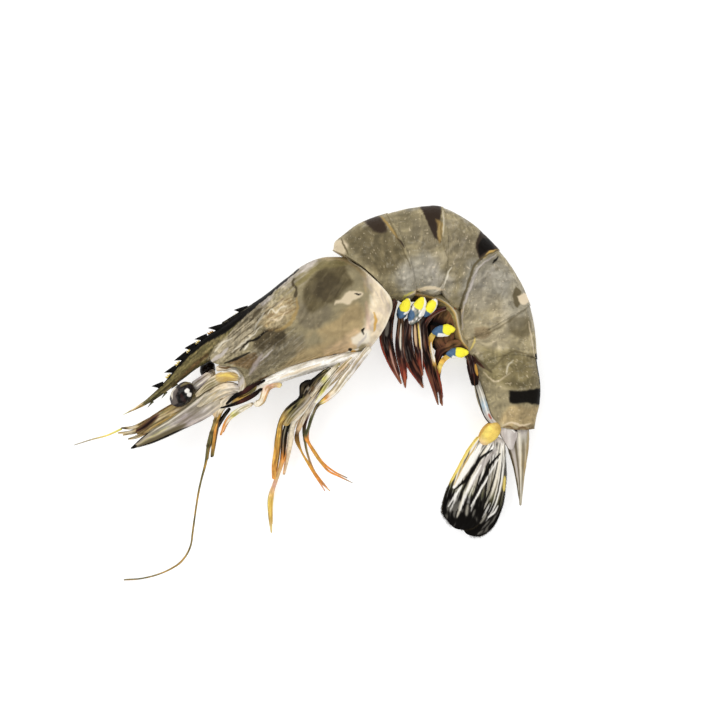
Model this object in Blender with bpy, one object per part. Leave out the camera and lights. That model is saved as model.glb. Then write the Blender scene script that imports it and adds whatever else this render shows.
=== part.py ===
"""Raw whole prawn, head on and shell on, lying on its right side.

The prawn's left side faces +Z, its back runs round the outside of the curl, and the table is z = 0.
The head points to -X and the tail fan to -Y. Sizes are millimetres, and MM turns them into metres.
"""

import math

import bpy
import numpy as np

MM = 0.001
GAP = 0.3

# Driving dimensions.
MID_HEIGHT = 11.6
CARAPACE_HALF_WIDTH = 12.0
ABDOMEN_FRONT_HALF_WIDTH = 11.2
ABDOMEN_REAR_HALF_WIDTH = 5.2
RESTING_SINK = 0.4
LEG_DROOP = 0.16
LEG_DROOP_STARTS = 5.0
SEGMENT_STEP = 0.05
SEGMENT_FRONT_STEP = 0.02
SEGMENT_SEAM = 1.7 * GAP
PLEURON_LOBE = 0.9
ROSTRUM_CREST = 0.5
UPPER_TOOTH = 1.5
LOWER_TOOTH = 0.9
TOOTH_FRONT_SLOPE = 0.7
TOOTH_BACK_SLOPE = 3.2
TELSON_HEIGHT = 6.2
ANTENNAL_SCALE_HEIGHTS = {"left": 15.6, "right": 5.4}

# Outlines in the plane of the curl. The dorsal one runs along the back, the ventral one along the belly.
CARAPACE_DORSAL = [
    (-25.5, 21.9), (-20.1, 25.2), (-13.5, 29.4), (-6.6, 34.8), (-0.6, 39.3), (4.5, 41.2), (12.0, 41.4),
]
CARAPACE_VENTRAL = [
    (-18.0, 1.2), (-13.5, 3.9), (-5.1, 7.8), (0.9, 9.6), (8.4, 11.4), (12.9, 12.0), (17.1, 12.9),
]
CARAPACE_WIDTHS = [(0.0, 0.58), (0.25, 0.82), (0.5, 0.97), (0.75, 1.0), (1.0, 0.93)]
CARAPACE_BOWS = [(0.0, -6.0), (0.5, 2.0), (1.0, 10.4)]

ROSTRUM_UPPER = [
    (-55.8, -6.3), (-48.0, -0.6), (-41.1, 5.1), (-35.1, 11.4), (-25.5, 20.7), (-13.5, 29.4), (-1.2, 39.0),
]
ROSTRUM_LOWER = [
    (-55.8, -6.3), (-47.7, -2.7), (-37.5, 4.5), (-27.9, 11.4), (-20.1, 15.0), (-13.5, 21.0), (-1.2, 36.0),
]
ROSTRUM_WIDTHS = [(0.0, 0.25), (0.15, 0.8), (0.4, 1.5), (0.6, 2.2), (1.0, 1.2)]
UPPER_TEETH = [
    (-46.2, 2.1), (-42.3, 6.3), (-39.3, 9.9), (-36.3, 13.5), (-33.3, 16.2), (-29.4, 19.5), (-21.6, 24.9),
]
LOWER_TEETH = [(-48.0, -3.6), (-43.8, -0.9), (-40.8, 1.8)]

# Half-way points and joints of the six abdominal segments, from the front of the first to the end of the last.
ABDOMEN_DORSAL = [
    (7.2, 45.6), (15.3, 51.6), (23.4, 54.6), (31.8, 56.4), (40.2, 56.7), (49.5, 51.9), (57.6, 44.1),
    (63.3, 36.3), (67.2, 27.6), (69.0, 19.2), (69.6, 11.4), (70.8, 0.3), (69.0, -9.6),
]
ABDOMEN_VENTRAL = [
    (26.4, 28.0), (32.7, 31.0), (39.9, 30.6), (45.9, 25.8), (47.7, 16.2), (50.4, 8.7), (54.9, -8.1),
]
ABDOMEN_BOWS = [1.8, 1.2, 1.5, -2.4, 0.0, -2.6, 0.8]
ABDOMEN_NARROWING = [0.0, 0.02, 0.1, 0.28, 0.5, 0.76, 1.0]

THORAX_UPPER = [(-18.3, -0.2), (-13.5, 2.6), (-5.1, 6.5), (0.9, 8.3), (8.4, 10.1), (17.6, 11.5)]
THORAX_LOWER = [(-20.4, -2.4), (-15.9, -0.2), (-5.7, 4.4), (0.6, 6.4), (7.5, 8.2), (17.7, 10.4)]

# Routes are (x, y, height above the middle plane, half thickness).
LEG_ROUTES = {
    "leg_1": [
        (-8.4, 1.8, 4.2, 1.1), (-11.7, 0.6, 5.2, 1.2), (-14.1, -2.7, 5.6, 1.0), (-18.3, -4.8, 5.4, 1.0),
        (-22.2, -7.2, 5.0, 0.8), (-25.8, -11.7, 4.6, 0.3),
    ],
    "leg_2": [
        (4.2, 6.0, 6.0, 1.2), (0.0, 3.0, 7.0, 1.3), (-3.3, -0.9, 7.2, 1.1), (-6.6, -5.1, 6.8, 1.0),
        (-8.1, -12.3, 5.2, 0.8), (-9.0, -18.9, 4.2, 0.8), (-9.6, -24.9, 3.6, 0.3),
    ],
    "leg_3": [
        (8.1, 6.6, 3.8, 1.2), (2.7, 2.1, 4.0, 1.2), (-0.9, -2.4, 4.2, 1.1), (-3.6, -7.5, 4.2, 0.9),
        (-5.1, -15.0, 3.6, 0.8), (-6.9, -21.9, 3.0, 0.8), (-10.8, -29.1, 2.4, 0.8), (-11.7, -35.1, 2.0, 0.7),
        (-10.8, -41.4, 1.6, 0.3),
    ],
    "leg_4": [
        (12.0, 7.6, 3.4, 1.2), (6.9, 2.7, 1.8, 1.1), (2.1, -3.0, 1.8, 1.0), (-1.8, -9.0, 2.0, 0.8),
        (-3.0, -12.9, 2.0, 0.7), (-0.3, -19.5, 1.6, 0.6), (2.7, -24.9, 1.4, 0.5), (5.4, -29.1, 1.2, 0.3),
    ],
    "leg_5": [
        (16.2, 8.7, 5.8, 1.3), (12.6, 5.7, 5.8, 1.3), (7.8, 0.3, 5.4, 1.0), (4.2, -3.3, 5.0, 0.8),
        (1.8, -7.8, 4.4, 0.7), (0.6, -12.3, 3.8, 0.6), (2.1, -17.4, 3.0, 0.6), (6.0, -22.2, 2.4, 0.5),
        (13.5, -26.4, 1.8, 0.3),
    ],
}
RIGHT_LEG_SHIFTS = {"leg_1": 0.9, "leg_2": 0.0, "leg_3": -1.5, "leg_4": 1.0, "leg_5": -0.3}
RIGHT_LEG_REACH = {"leg_1": 0.9, "leg_2": 0.7, "leg_3": 0.78, "leg_4": 1.0, "leg_5": 0.85}

# Swimming limbs are (x, y, half breadth).
PLEOPOD_ROUTES = {
    "pleopod_1": [(29.0, 27.6, 2.0), (26.7, 22.5, 2.4), (25.2, 15.0, 2.5), (26.6, 8.7, 1.9), (28.2, 3.6, 0.4)],
    "pleopod_2": [(33.6, 28.6, 2.0), (31.8, 22.0, 1.8), (31.2, 15.0, 2.1), (33.0, 7.8, 1.6), (34.8, 2.4, 0.4)],
    "pleopod_3": [(38.1, 28.2, 2.0), (36.2, 22.0, 1.8), (35.7, 13.5, 1.4), (37.0, 5.1, 1.2), (39.0, -2.1, 0.4)],
    "pleopod_4": [(43.4, 21.3, 2.4), (40.2, 17.4, 1.9), (39.2, 11.4, 1.3), (39.9, 4.5, 1.0), (40.4, -2.4, 0.4)],
    "pleopod_5": [(47.2, 13.2, 2.2), (43.8, 11.0, 1.6), (42.3, 7.2, 0.8), (41.8, 3.2, 0.3)],
}
LEFT_PLEOPOD_HEIGHT = 5.2
RIGHT_PLEOPOD_SHIFT = 2.4
RIGHT_PLEOPOD_REACH = 0.72
PLEOPOD_HALF_THICKNESS = 0.8

COLOURS = {
    "shell": (0.27, 0.24, 0.16, 1.0),
    "belly": (0.68, 0.62, 0.50, 1.0),
    "eye": (0.02, 0.013, 0.012, 1.0),
    "leg": (0.58, 0.36, 0.11, 1.0),
    "swimming_limb": (0.09, 0.03, 0.022, 1.0),
    "tail": (0.05, 0.045, 0.04, 1.0),
    "feeler": (0.30, 0.20, 0.08, 1.0),
}


def clear_scene():
    for item in list(bpy.data.objects):
        bpy.data.objects.remove(item, do_unlink=True)


def new_collection(name):
    group = bpy.data.collections.new(name)
    bpy.context.scene.collection.children.link(group)
    return group


def finish_of(kind, piece_name):
    """A glossy wet material of its own for one piece."""
    material = bpy.data.materials.new(f"{piece_name}_{kind}")
    material.use_nodes = True
    surface = material.node_tree.nodes["Principled BSDF"]
    surface.inputs["Base Color"].default_value = COLOURS[kind]
    surface.inputs["Roughness"].default_value = 0.3
    surface.inputs["Metallic"].default_value = 0.0
    return material


def spline(knots, values, at):
    """The smooth curve through values that stand at the knots, read at each position."""
    knots = np.asarray(knots, float)
    values = np.asarray(values, float)
    at = np.asarray(at, float)
    slopes = np.gradient(values, knots, axis=0)
    span = np.clip(np.searchsorted(knots, at, side="right") - 1, 0, len(knots) - 2)
    width = knots[span + 1] - knots[span]
    share = (at - knots[span]) / width
    if values.ndim > 1:
        width = width[:, None]
        share = share[:, None]
    rest = 1 - share
    return (
        values[span] * rest * rest * (1 + 2 * share)
        + values[span + 1] * share * share * (1 + 2 * rest)
        + width * share * rest * (slopes[span] * rest - slopes[span + 1] * share)
    )


def graded(pairs, at):
    """A size given as (position, value) pairs, read at each position."""
    pairs = np.asarray(pairs, float)
    return spline(pairs[:, 0], pairs[:, 1], at)


def along(points, shares):
    """Points at these shares of the length of the smooth curve through the given ones."""
    points = np.asarray(points, float)
    steps = np.linalg.norm(np.diff(points[:, :2], axis=0), axis=1)
    knots = np.concatenate([[0], np.cumsum(steps)])
    return spline(knots, points, np.asarray(shares) * knots[-1])


def tailward(dorsal, ventral):
    """The unit direction across each rung from back to belly, turned towards the tail."""
    rung = ventral - dorsal
    turned = np.stack([-rung[:, 1], rung[:, 0]], axis=1)
    return turned / np.linalg.norm(turned, axis=1)[:, None]


def sections(dorsal, ventral, half_width, height, bow, sides, fullness=1.0, squareness=0.8):
    """Closed oval rings, one for each rung from back to belly, bowed towards the tail at their sides."""
    angle = 2 * math.pi * np.arange(sides) / sides
    across = ((1 - np.cos(angle)) / 2) ** fullness
    out = np.sign(np.sin(angle)) * np.abs(np.sin(angle)) ** squareness
    bulge = np.sin(angle) ** 2
    rung = (ventral - dorsal)[:, None, :]
    flat = dorsal[:, None, :] + rung * across[None, :, None]
    flat = flat + tailward(dorsal, ventral)[:, None, :] * (np.asarray(bow)[:, None] * bulge)[:, :, None]
    up = np.asarray(height)[:, None] + np.asarray(half_width)[:, None] * out
    return np.concatenate([flat, np.maximum(up, 0)[:, :, None]], axis=2)


def hearts(dorsal, ventral, height, bow, depth=0.9):
    """The middle point of each ring, where a cap's triangles meet."""
    flat = (dorsal + ventral) / 2 + tailward(dorsal, ventral) * (np.asarray(bow) * depth)[:, None]
    return np.concatenate([flat, np.asarray(height)[:, None]], axis=1)


def loft(name, rings, first_heart, last_heart):
    """A closed mesh over the rings, each end closed by triangles that meet at its heart."""
    count, sides, _ = rings.shape
    points = np.concatenate([rings.reshape(-1, 3), [first_heart, last_heart]]) * MM
    first = count * sides
    last = first + 1
    faces = []
    for side in range(sides):
        beside = (side + 1) % sides
        faces.append((first, side, beside))
        faces.append((last, first - sides + beside, first - sides + side))
        for ring in range(count - 1):
            here = ring * sides
            faces.append((here + side, here + sides + side, here + sides + beside, here + beside))
    mesh = bpy.data.meshes.new(name)
    mesh.from_pydata(points.tolist(), [], faces)
    return facing_out(mesh)


def facing_out(mesh):
    """The mesh with its faces pointing outwards, whichever way its rings ran."""
    mesh.calc_loop_triangles()
    corners = np.array([[mesh.vertices[i].co for i in face.vertices] for face in mesh.loop_triangles])
    if np.linalg.det(corners).sum() < 0:
        mesh.flip_normals()
    return mesh


def place(mesh, kind, group):
    piece = bpy.data.objects.new(mesh.name, mesh)
    mesh.materials.append(finish_of(kind, mesh.name))
    mesh.shade_smooth()
    mesh.set_sharp_from_angle(angle=math.radians(50))
    group.objects.link(piece)
    return piece


def ladder(name, dorsal, ventral, half_width, height, kind, group, bow=0.0, sides=10, squareness=0.9):
    """A solid between two edges: the widths are (share of length, half width) pairs."""
    shares = np.linspace(0, 1, len(dorsal))
    half = graded(half_width, shares)
    tall = np.full(len(dorsal), float(height)) if np.isscalar(height) else graded(height, shares)
    bows = np.full(len(dorsal), bow)
    rings = sections(dorsal, ventral, half, tall, bows, sides, squareness=squareness)
    middle = hearts(dorsal, ventral, tall, bows)
    return place(loft(name, rings, middle[0], middle[-1]), kind, group)


def blade(name, centre, half_thickness, height, kind, group, stations=9, sides=8):
    """A flat limb along a centre line of (x, y, half breadth) points."""
    line = along(centre, np.linspace(0, 1, stations))
    run = np.gradient(line[:, :2], axis=0)
    aside = np.stack([-run[:, 1], run[:, 0]], axis=1) / np.linalg.norm(run, axis=1)[:, None]
    reach = aside * line[:, 2:]
    widths = [(0.0, half_thickness), (0.6, half_thickness), (1.0, 0.4 * half_thickness)]
    return ladder(name, line[:, :2] + reach, line[:, :2] - reach, widths, height, kind, group, sides=sides)


def tube(name, route, kind, group, stations=14, resolution=1):
    """A round limb along a smooth route of (x, y, z, radius) points."""
    line = along(route, np.linspace(0, 1, stations))
    curve = bpy.data.curves.new(name, "CURVE")
    curve.dimensions = "3D"
    curve.bevel_depth = MM
    curve.bevel_resolution = resolution
    curve.use_fill_caps = True
    path = curve.splines.new("POLY")
    path.points.add(stations - 1)
    for point, (x, y, z, radius) in zip(path.points, line):
        point.co = (x * MM, y * MM, max(z, radius) * MM, 1)
        point.radius = radius
    path.use_smooth = True
    curve.materials.append(finish_of(kind, name))
    piece = bpy.data.objects.new(name, curve)
    group.objects.link(piece)
    return piece


def ball(name, centre, radii, turn, kind, group, segments=14, rings=9):
    """An egg-shaped piece from a sphere, turned in the plane of the curl."""
    bpy.ops.mesh.primitive_uv_sphere_add(segments=segments, ring_count=rings, radius=1)
    made = bpy.context.object
    mesh = made.data
    mesh.name = name
    bpy.data.objects.remove(made)
    cos, sin = math.cos(math.radians(turn)), math.sin(math.radians(turn))
    for vertex in mesh.vertices:
        x, y, z = (vertex.co[i] * radii[i] for i in range(3))
        vertex.co = (
            (centre[0] + x * cos - y * sin) * MM,
            (centre[1] + x * sin + y * cos) * MM,
            (centre[2] + z) * MM,
        )
    return place(mesh, kind, group)


def tooth_heights(edge, teeth, height):
    """How far each tooth lifts the edge: a slow rise from behind and a steep drop in front of the tip."""
    lift = np.zeros(len(edge))
    run = np.concatenate([[0], np.cumsum(np.linalg.norm(np.diff(edge, axis=0), axis=1))])
    for tip in teeth:
        nearest = np.argmin(np.linalg.norm(edge - np.asarray(tip), axis=1))
        behind = run - run[nearest]
        rise = np.where(behind < 0, 1 + behind / TOOTH_FRONT_SLOPE, 1 - behind / TOOTH_BACK_SLOPE)
        lift = np.maximum(lift, height * np.clip(rise, 0, 1))
    return lift


def rostrum_mesh(stations=58, sides=8):
    """The toothed blade in front of the carapace, and the low crest that runs on along its back."""
    shares = np.linspace(0.012, 1, stations)
    upper = along(ROSTRUM_UPPER, shares)
    lower = along(ROSTRUM_LOWER, shares)
    half = graded(ROSTRUM_WIDTHS, shares)
    height = np.full(stations, MID_HEIGHT)
    rings = sections(upper, lower, half, height, np.zeros(stations), sides, squareness=1.0)
    outward = (upper - lower) / np.maximum(np.linalg.norm(upper - lower, axis=1), 0.1)[:, None]
    crest = ROSTRUM_CREST * np.clip((shares - 0.4) / 0.2, 0, 1)
    rings[:, 0, :2] += outward * (crest + tooth_heights(upper, UPPER_TEETH, UPPER_TOOTH))[:, None]
    rings[:, sides // 2, :2] -= outward * tooth_heights(lower, LOWER_TEETH, LOWER_TOOTH)[:, None]
    tip = np.array([*ROSTRUM_UPPER[0], MID_HEIGHT])
    middle = hearts(upper, lower, height, np.zeros(stations))
    return loft("rostrum_blade", rings, tip, middle[-1])


def make_carapace(group, helpers, stations=22, sides=24):
    """The head shield: one shell with its rostrum, flat where its right cheek lies on the table."""
    shares = np.linspace(0, 1, stations)
    dorsal = along(CARAPACE_DORSAL, shares)
    ventral = along(CARAPACE_VENTRAL, shares)
    half = CARAPACE_HALF_WIDTH * graded(CARAPACE_WIDTHS, shares)
    height = np.full(stations, MID_HEIGHT)
    bow = graded(CARAPACE_BOWS, shares)
    rings = sections(dorsal, ventral, half, height, bow, sides, fullness=0.9)
    middle = hearts(dorsal, ventral, height, bow)
    shield = place(loft("carapace", rings, middle[0], middle[-1]), "shell", group)
    rostrum = bpy.data.objects.new("rostrum_blade", rostrum_mesh())
    rostrum.hide_render = True
    rostrum.display_type = "WIRE"
    helpers.objects.link(rostrum)
    joined = shield.modifiers.new("join_rostrum", "BOOLEAN")
    joined.operation = "UNION"
    joined.solver = "EXACT"
    joined.object = rostrum
    return shield


def abdomen_ring_sizes(places):
    """Back, belly, half width, height and bow of the abdomen at positions counted in segments."""
    dorsal = spline(np.arange(13) / 2, ABDOMEN_DORSAL, places)
    ventral = spline(np.arange(7), ABDOMEN_VENTRAL, places)
    narrowing = spline(np.arange(7), ABDOMEN_NARROWING, places)
    half = ABDOMEN_FRONT_HALF_WIDTH + (ABDOMEN_REAR_HALF_WIDTH - ABDOMEN_FRONT_HALF_WIDTH) * narrowing
    bow = spline(np.arange(7), ABDOMEN_BOWS, places)
    return dorsal, ventral, half, half - RESTING_SINK, bow


def make_abdomen_segment(number, group, stations=7, sides=20):
    """One ring of the tail: it starts inside the ring before it and ends a little proud of the next."""
    places = number + np.linspace(0, 1, stations)
    dorsal, ventral, half, height, bow = abdomen_ring_sizes(places)
    share = np.linspace(0, 1, stations)
    belly = (ventral - dorsal) / np.linalg.norm(ventral - dorsal, axis=1)[:, None]
    ventral = ventral + belly * (PLEURON_LOBE * np.sin(math.pi * share) ** 0.7)[:, None]
    rings = sections(dorsal, ventral, half, height, bow, sides)
    middle = hearts(dorsal, ventral, height, bow)
    size = 1 - SEGMENT_STEP * (1 - share) ** 2
    size[0] -= SEGMENT_FRONT_STEP
    rings = middle[:, None, :] + (rings - middle[:, None, :]) * size[:, None, None]
    step = tailward(dorsal[:1], ventral[:1])[0] * SEGMENT_SEAM
    rings[0, :, :2] += step
    rings[:, :, 2] = np.where(rings[:, :, 2] < RESTING_SINK, 0, rings[:, :, 2])
    first = middle[0] + np.array([*step, 0])
    return place(loft(f"abdomen_{number + 1}", rings, first, middle[-1]), "shell", group)


def make_thorax(group, stations=12):
    """The soft underside of the head, between the shield's lower edges."""
    shares = np.linspace(0, 1, stations)
    widths = [(0.0, 3.0), (0.3, 5.5), (0.7, 6.5), (1.0, 5.5)]
    upper = along(THORAX_UPPER, shares)
    lower = along(THORAX_LOWER, shares)
    return ladder("thorax", upper, lower, widths, MID_HEIGHT, "belly", group)


def leg_height(y, offset, side):
    """Height of a walking leg, which droops towards the table away from the body."""
    return MID_HEIGHT + LEG_DROOP * min(0.0, y - LEG_DROOP_STARTS) + side * offset


def make_legs(group):
    """Five pairs of walking legs; the right ones lie a little aside of the left ones and below them."""
    for name, route in LEG_ROUTES.items():
        left = [(x, y, leg_height(y, offset, 1), radius) for x, y, offset, radius in route]
        tube(f"{name}_left", left, "leg", group)
        shift = RIGHT_LEG_SHIFTS[name]
        right = [(x + shift, y - 0.3, leg_height(y, offset, -1), radius) for x, y, offset, radius in route]
        shares = np.linspace(0, RIGHT_LEG_REACH[name], len(route))
        tube(f"{name}_right", along(right, shares), "leg", group)


def make_pleopods(group):
    """Five pairs of swimming limbs under the first five rings of the tail."""
    for number, (name, route) in enumerate(PLEOPOD_ROUTES.items()):
        middle = abdomen_ring_sizes(np.array([number + 0.5]))[3][0]
        line = np.array(route)
        blade(
            f"{name}_left", line, PLEOPOD_HALF_THICKNESS, middle + LEFT_PLEOPOD_HEIGHT * (1 - 0.07 * number),
            "swimming_limb", group,
        )
        other = along(line, np.linspace(0, RIGHT_PLEOPOD_REACH, len(line)))
        other[:, 0] += RIGHT_PLEOPOD_SHIFT * np.linspace(0, 1, len(line))
        blade(
            f"{name}_right", other, PLEOPOD_HALF_THICKNESS, middle - LEFT_PLEOPOD_HEIGHT * (1 - 0.07 * number),
            "swimming_limb", group,
        )


def make_eyes(group):
    ball("eye_left", (-36.9, 0.3, 17.4), (4.2, 3.5, 3.5), 40, "eye", group)
    ball("eye_right", (-31.2, 8.4, 5.6), (3.7, 3.3, 3.3), 40, "eye", group)
    tube(
        "eyestalk_left", [(-29.2, 5.4, 14.6, 1.3), (-31.2, 4.2, 15.6, 1.3), (-33.2, 2.9, 16.6, 1.2)],
        "belly", group, stations=5,
    )
    tube(
        "eyestalk_right", [(-28.6, 5.0, 7.4, 1.2), (-29.4, 5.2, 7.0, 1.2)], "belly", group, stations=3,
    )


def make_feelers(group):
    """Antennules with their threads, the flat antennal scales, and the long left antenna on its base."""
    left = [
        (-29.4, 1.8, 12.9, 1.9), (-34.5, -1.5, 12.2, 1.7), (-40.5, -5.1, 12.0, 1.5), (-47.1, -8.9, 12.0, 1.2),
        (-51.5, -10.9, 12.0, 0.7), (-54.9, -12.9, 12.0, 0.3),
    ]
    tube("antennule_left", left, "feeler", group)
    right = [
        (-30.6, 3.0, 8.6, 1.6), (-35.1, 0.0, 8.4, 1.6), (-41.1, -3.6, 8.3, 1.5), (-47.1, -7.3, 8.2, 1.1),
        (-51.5, -9.0, 8.2, 0.7), (-55.6, -10.0, 8.2, 0.3),
    ]
    tube("antennule_right", right, "feeler", group)
    thread = [
        (-56.4, -10.6, 8.2, 0.35), (-60.6, -12.3, 7.6, 0.3), (-65.1, -13.5, 6.6, 0.3), (-70.8, -15.3, 5.2, 0.25),
    ]
    tube("antennule_thread", thread, "feeler", group, stations=8)
    scale = [
        (-28.2, -1.6, 3.6), (-32.7, -4.6, 3.5), (-38.1, -7.9, 3.0), (-44.7, -11.8, 2.0), (-52.2, -15.8, 0.4),
    ]
    for side, height in ANTENNAL_SCALE_HEIGHTS.items():
        blade(f"antennal_scale_{side}", scale, 0.6, height, "belly", group, stations=10)
    ball("antenna_base_left", (-24.6, -0.8, 15.2), (2.3, 4.2, 2.6), -12, "belly", group, segments=12, rings=8)
    ball("antenna_base_right", (-24.6, -0.8, 8.0), (2.3, 4.2, 2.6), -12, "belly", group, segments=12, rings=8)
    antenna = [
        (-26.2, -6.4, 14.9, 1.2), (-27.6, -9.3, 14.6, 1.2), (-29.4, -13.5, 13.6, 0.9),
        (-30.0, -18.6, 12.2, 0.5), (-31.8, -26.1, 10.0, 0.32), (-33.6, -33.9, 7.6, 0.3),
        (-34.8, -41.7, 5.2, 0.3), (-36.9, -48.9, 2.9, 0.3), (-41.1, -52.8, 1.6, 0.3),
        (-47.7, -55.6, 0.7, 0.3), (-56.4, -56.6, 0.35, 0.3),
    ]
    tube("antenna_left", antenna, "feeler", group, stations=34)


def make_mouth_limbs(group):
    """The jaw feet and leaf-shaped mouth limbs under the front corner of the shield."""
    for side, name in ((1, "left"), (-1, "right")):
        leaf = [(-15.9, -0.6, 0.9), (-18.6, -2.4, 1.4), (-21.6, -4.2, 0.8)]
        blade(f"mouth_limb_{name}", leaf, 0.7, MID_HEIGHT + side * 4.6, "leg", group, stations=6)
        jaw = [
            (-22.2, -5.0, MID_HEIGHT + side * 1.6, 0.9), (-24.6, -6.6, MID_HEIGHT + side * 1.6, 0.9),
            (-26.4, -10.8, MID_HEIGHT + side * 1.4, 0.8), (-28.0, -18.6, MID_HEIGHT + side * 1.4, 0.5),
        ]
        reach = 1.0 if side > 0 else 0.6
        tube(f"maxilliped_{name}", along(jaw, np.linspace(0, reach, 8)), "leg", group, stations=9)


def make_tail_fan(group):
    """The pointed telson, and on each side a stout base with two blades that lie over each other."""
    shares = np.linspace(0, 1, 12)
    right_edge = along([(67.0, -10.4), (67.4, -15.0), (66.3, -20.1), (65.4, -26.1), (64.6, -33.3)], shares)
    left_edge = along([(58.6, -9.3), (60.0, -15.0), (61.8, -20.7), (63.3, -27.0), (64.2, -33.3)], shares)
    widths = [(0.0, 2.0), (0.5, 1.3), (1.0, 0.3)]
    ladder("telson", right_edge, left_edge, widths, TELSON_HEIGHT, "shell", group)
    base = [(56.6, -9.4, 1.3), (54.6, -11.6, 2.2), (52.6, -13.6, 1.8)]
    exopod = [
        (52.9, -15.0, 2.2), (50.4, -20.6, 3.4), (47.8, -27.6, 3.9), (44.9, -35.4, 3.6), (43.2, -41.0, 1.4),
    ]
    endopod = [
        (56.2, -15.2, 1.8), (55.4, -21.6, 3.3), (54.0, -29.1, 3.9), (51.9, -36.0, 3.4), (49.6, -41.6, 1.2),
    ]
    for name, base_height, exopod_height, endopod_height in (("left", 8.0, 8.6, 6.9), ("right", 3.6, 3.2, 5.2)):
        blade(f"uropod_base_{name}", base, 1.7, base_height, "tail", group, stations=5)
        blade(f"uropod_exopod_{name}", exopod, 0.5, exopod_height, "tail", group, stations=10)
        blade(f"uropod_endopod_{name}", endopod, 0.5, endopod_height, "tail", group, stations=10)


def main():
    clear_scene()
    prawn = new_collection("raw_prawn")
    helpers = new_collection("helpers")
    make_carapace(prawn, helpers)
    make_thorax(prawn)
    for number in range(6):
        make_abdomen_segment(number, prawn)
    make_eyes(prawn)
    make_feelers(prawn)
    make_mouth_limbs(prawn)
    make_legs(prawn)
    make_pleopods(prawn)
    make_tail_fan(prawn)


main()
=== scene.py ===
"""The looks of a raw tiger prawn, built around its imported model.

The prawn lies on its right side with its left side up. Sizes in the classes are millimetres in the model's own
frame: x runs from head to tail, y from the walking legs to the back, and z is height above the table.
"""

import logging
import math
from dataclasses import dataclass
from enum import Enum

import bpy
import numpy as np
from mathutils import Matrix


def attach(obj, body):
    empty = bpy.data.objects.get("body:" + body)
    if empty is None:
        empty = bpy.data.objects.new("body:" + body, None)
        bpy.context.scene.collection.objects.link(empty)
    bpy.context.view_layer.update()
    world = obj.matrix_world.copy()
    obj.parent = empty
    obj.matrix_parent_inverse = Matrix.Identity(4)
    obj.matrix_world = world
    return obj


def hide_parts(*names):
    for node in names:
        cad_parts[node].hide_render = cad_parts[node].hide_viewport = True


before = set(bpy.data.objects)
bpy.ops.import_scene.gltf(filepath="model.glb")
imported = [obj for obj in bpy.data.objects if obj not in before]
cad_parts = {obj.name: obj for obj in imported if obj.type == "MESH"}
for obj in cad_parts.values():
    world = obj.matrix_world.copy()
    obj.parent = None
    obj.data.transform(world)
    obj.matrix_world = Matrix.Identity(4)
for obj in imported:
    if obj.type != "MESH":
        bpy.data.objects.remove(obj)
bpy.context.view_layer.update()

log = logging.getLogger("raw_prawn")
Array = np.ndarray
MM = 0.001
MID_HEIGHT = 11.6
VIEW_CENTRE = (15.9, 10.5)
VIEW_HEIGHT = 600.0
TINY = 1e-9

# What each pattern adds to a paint's own seed, so that no two of its patterns are alike.
VEIN_SEED, FLECK_SEED, STROKE_SEED, FOLD_SEED, WANDER_SEED = 7, 9, 20, 30, 40


class Tone(Enum):
    """The animal's own colours, as display red, green and blue."""

    SHELL = (140, 129, 100)
    TAN = (164, 143, 104)
    UMBER = (88, 78, 55)
    SEPIA = (66, 57, 41)
    STONE = (112, 103, 84)
    DRAB = (122, 111, 72)
    SAND = (172, 160, 134)
    SLATE = (140, 136, 126)
    MIST = (168, 162, 148)
    LILAC = (186, 177, 170)
    MAUVE = (158, 146, 143)
    CREAM = (226, 208, 178)
    PEACH = (214, 182, 142)
    BONE = (235, 227, 208)
    WHITE = (244, 240, 232)
    BAND = (50, 40, 32)
    BLACK = (10, 8, 6)
    BROWN = (96, 72, 44)
    RUST = (137, 89, 62)
    ORANGE = (216, 140, 66)
    AMBER = (196, 148, 66)
    GOLD = (190, 156, 88)
    OCHRE = (160, 132, 78)
    YELLOW = (236, 210, 110)
    LEMON = (244, 232, 66)
    CITRON = (196, 190, 96)
    OLIVE = (98, 90, 56)
    MOSS = (72, 72, 46)
    BLUE = (70, 100, 134)
    SKY = (150, 172, 186)
    TEAL = (76, 96, 92)
    MAROON = (62, 32, 28)
    WINE = (30, 14, 12)
    RED = (150, 62, 44)
    PINK = (206, 158, 140)
    EYE = (24, 16, 15)
    ASH = (122, 112, 104)

    @property
    def display(self) -> Array:
        """The colour as shares of full display brightness."""
        return np.array(self.value, float) / 255


def smooth_rise(value: Array) -> Array:
    """A smooth step: 0 below 0, 1 above 1, and three t squared less two t cubed between."""
    share = np.clip(value, 0, 1)
    return share * share * (3 - 2 * share)


def within(value: Array, span: tuple[float, float], soft: float) -> Array:
    """1 between the two ends of a span and 0 outside, with a smooth step of the given width at each end."""
    return smooth_rise((value - span[0]) / soft + 0.5) * smooth_rise((span[1] - value) / soft + 0.5)


def spline(knots: Array, values: Array, at: Array) -> Array:
    """The smooth curve through values at the knots, by cubic Hermite pieces with centred slopes.

    Args:
        knots: Rising positions.
        values: One value or row of values for each knot.
        at: Positions to read.

    Returns:
        The value or row at each position.
    """
    knots = np.asarray(knots, float)
    values = np.asarray(values, float)
    at = np.asarray(at, float)
    slopes = np.gradient(values, knots, axis=0)
    span = np.clip(np.searchsorted(knots, at, side="right") - 1, 0, len(knots) - 2)
    width = knots[span + 1] - knots[span]
    share = (at - knots[span]) / width
    if values.ndim > 1:
        width = width[:, None]
        share = share[:, None]
    rest = 1 - share
    return (
        values[span] * rest * rest * (1 + 2 * share)
        + values[span + 1] * share * share * (1 + 2 * rest)
        + width * share * rest * (slopes[span] * rest - slopes[span + 1] * share)
    )


def graded(pairs: tuple, at: Array) -> Array:
    """A size given as (position, value) pairs, read smoothly at each position."""
    pairs = np.asarray(pairs, float)
    return spline(pairs[:, 0], pairs[:, 1], at)


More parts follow.
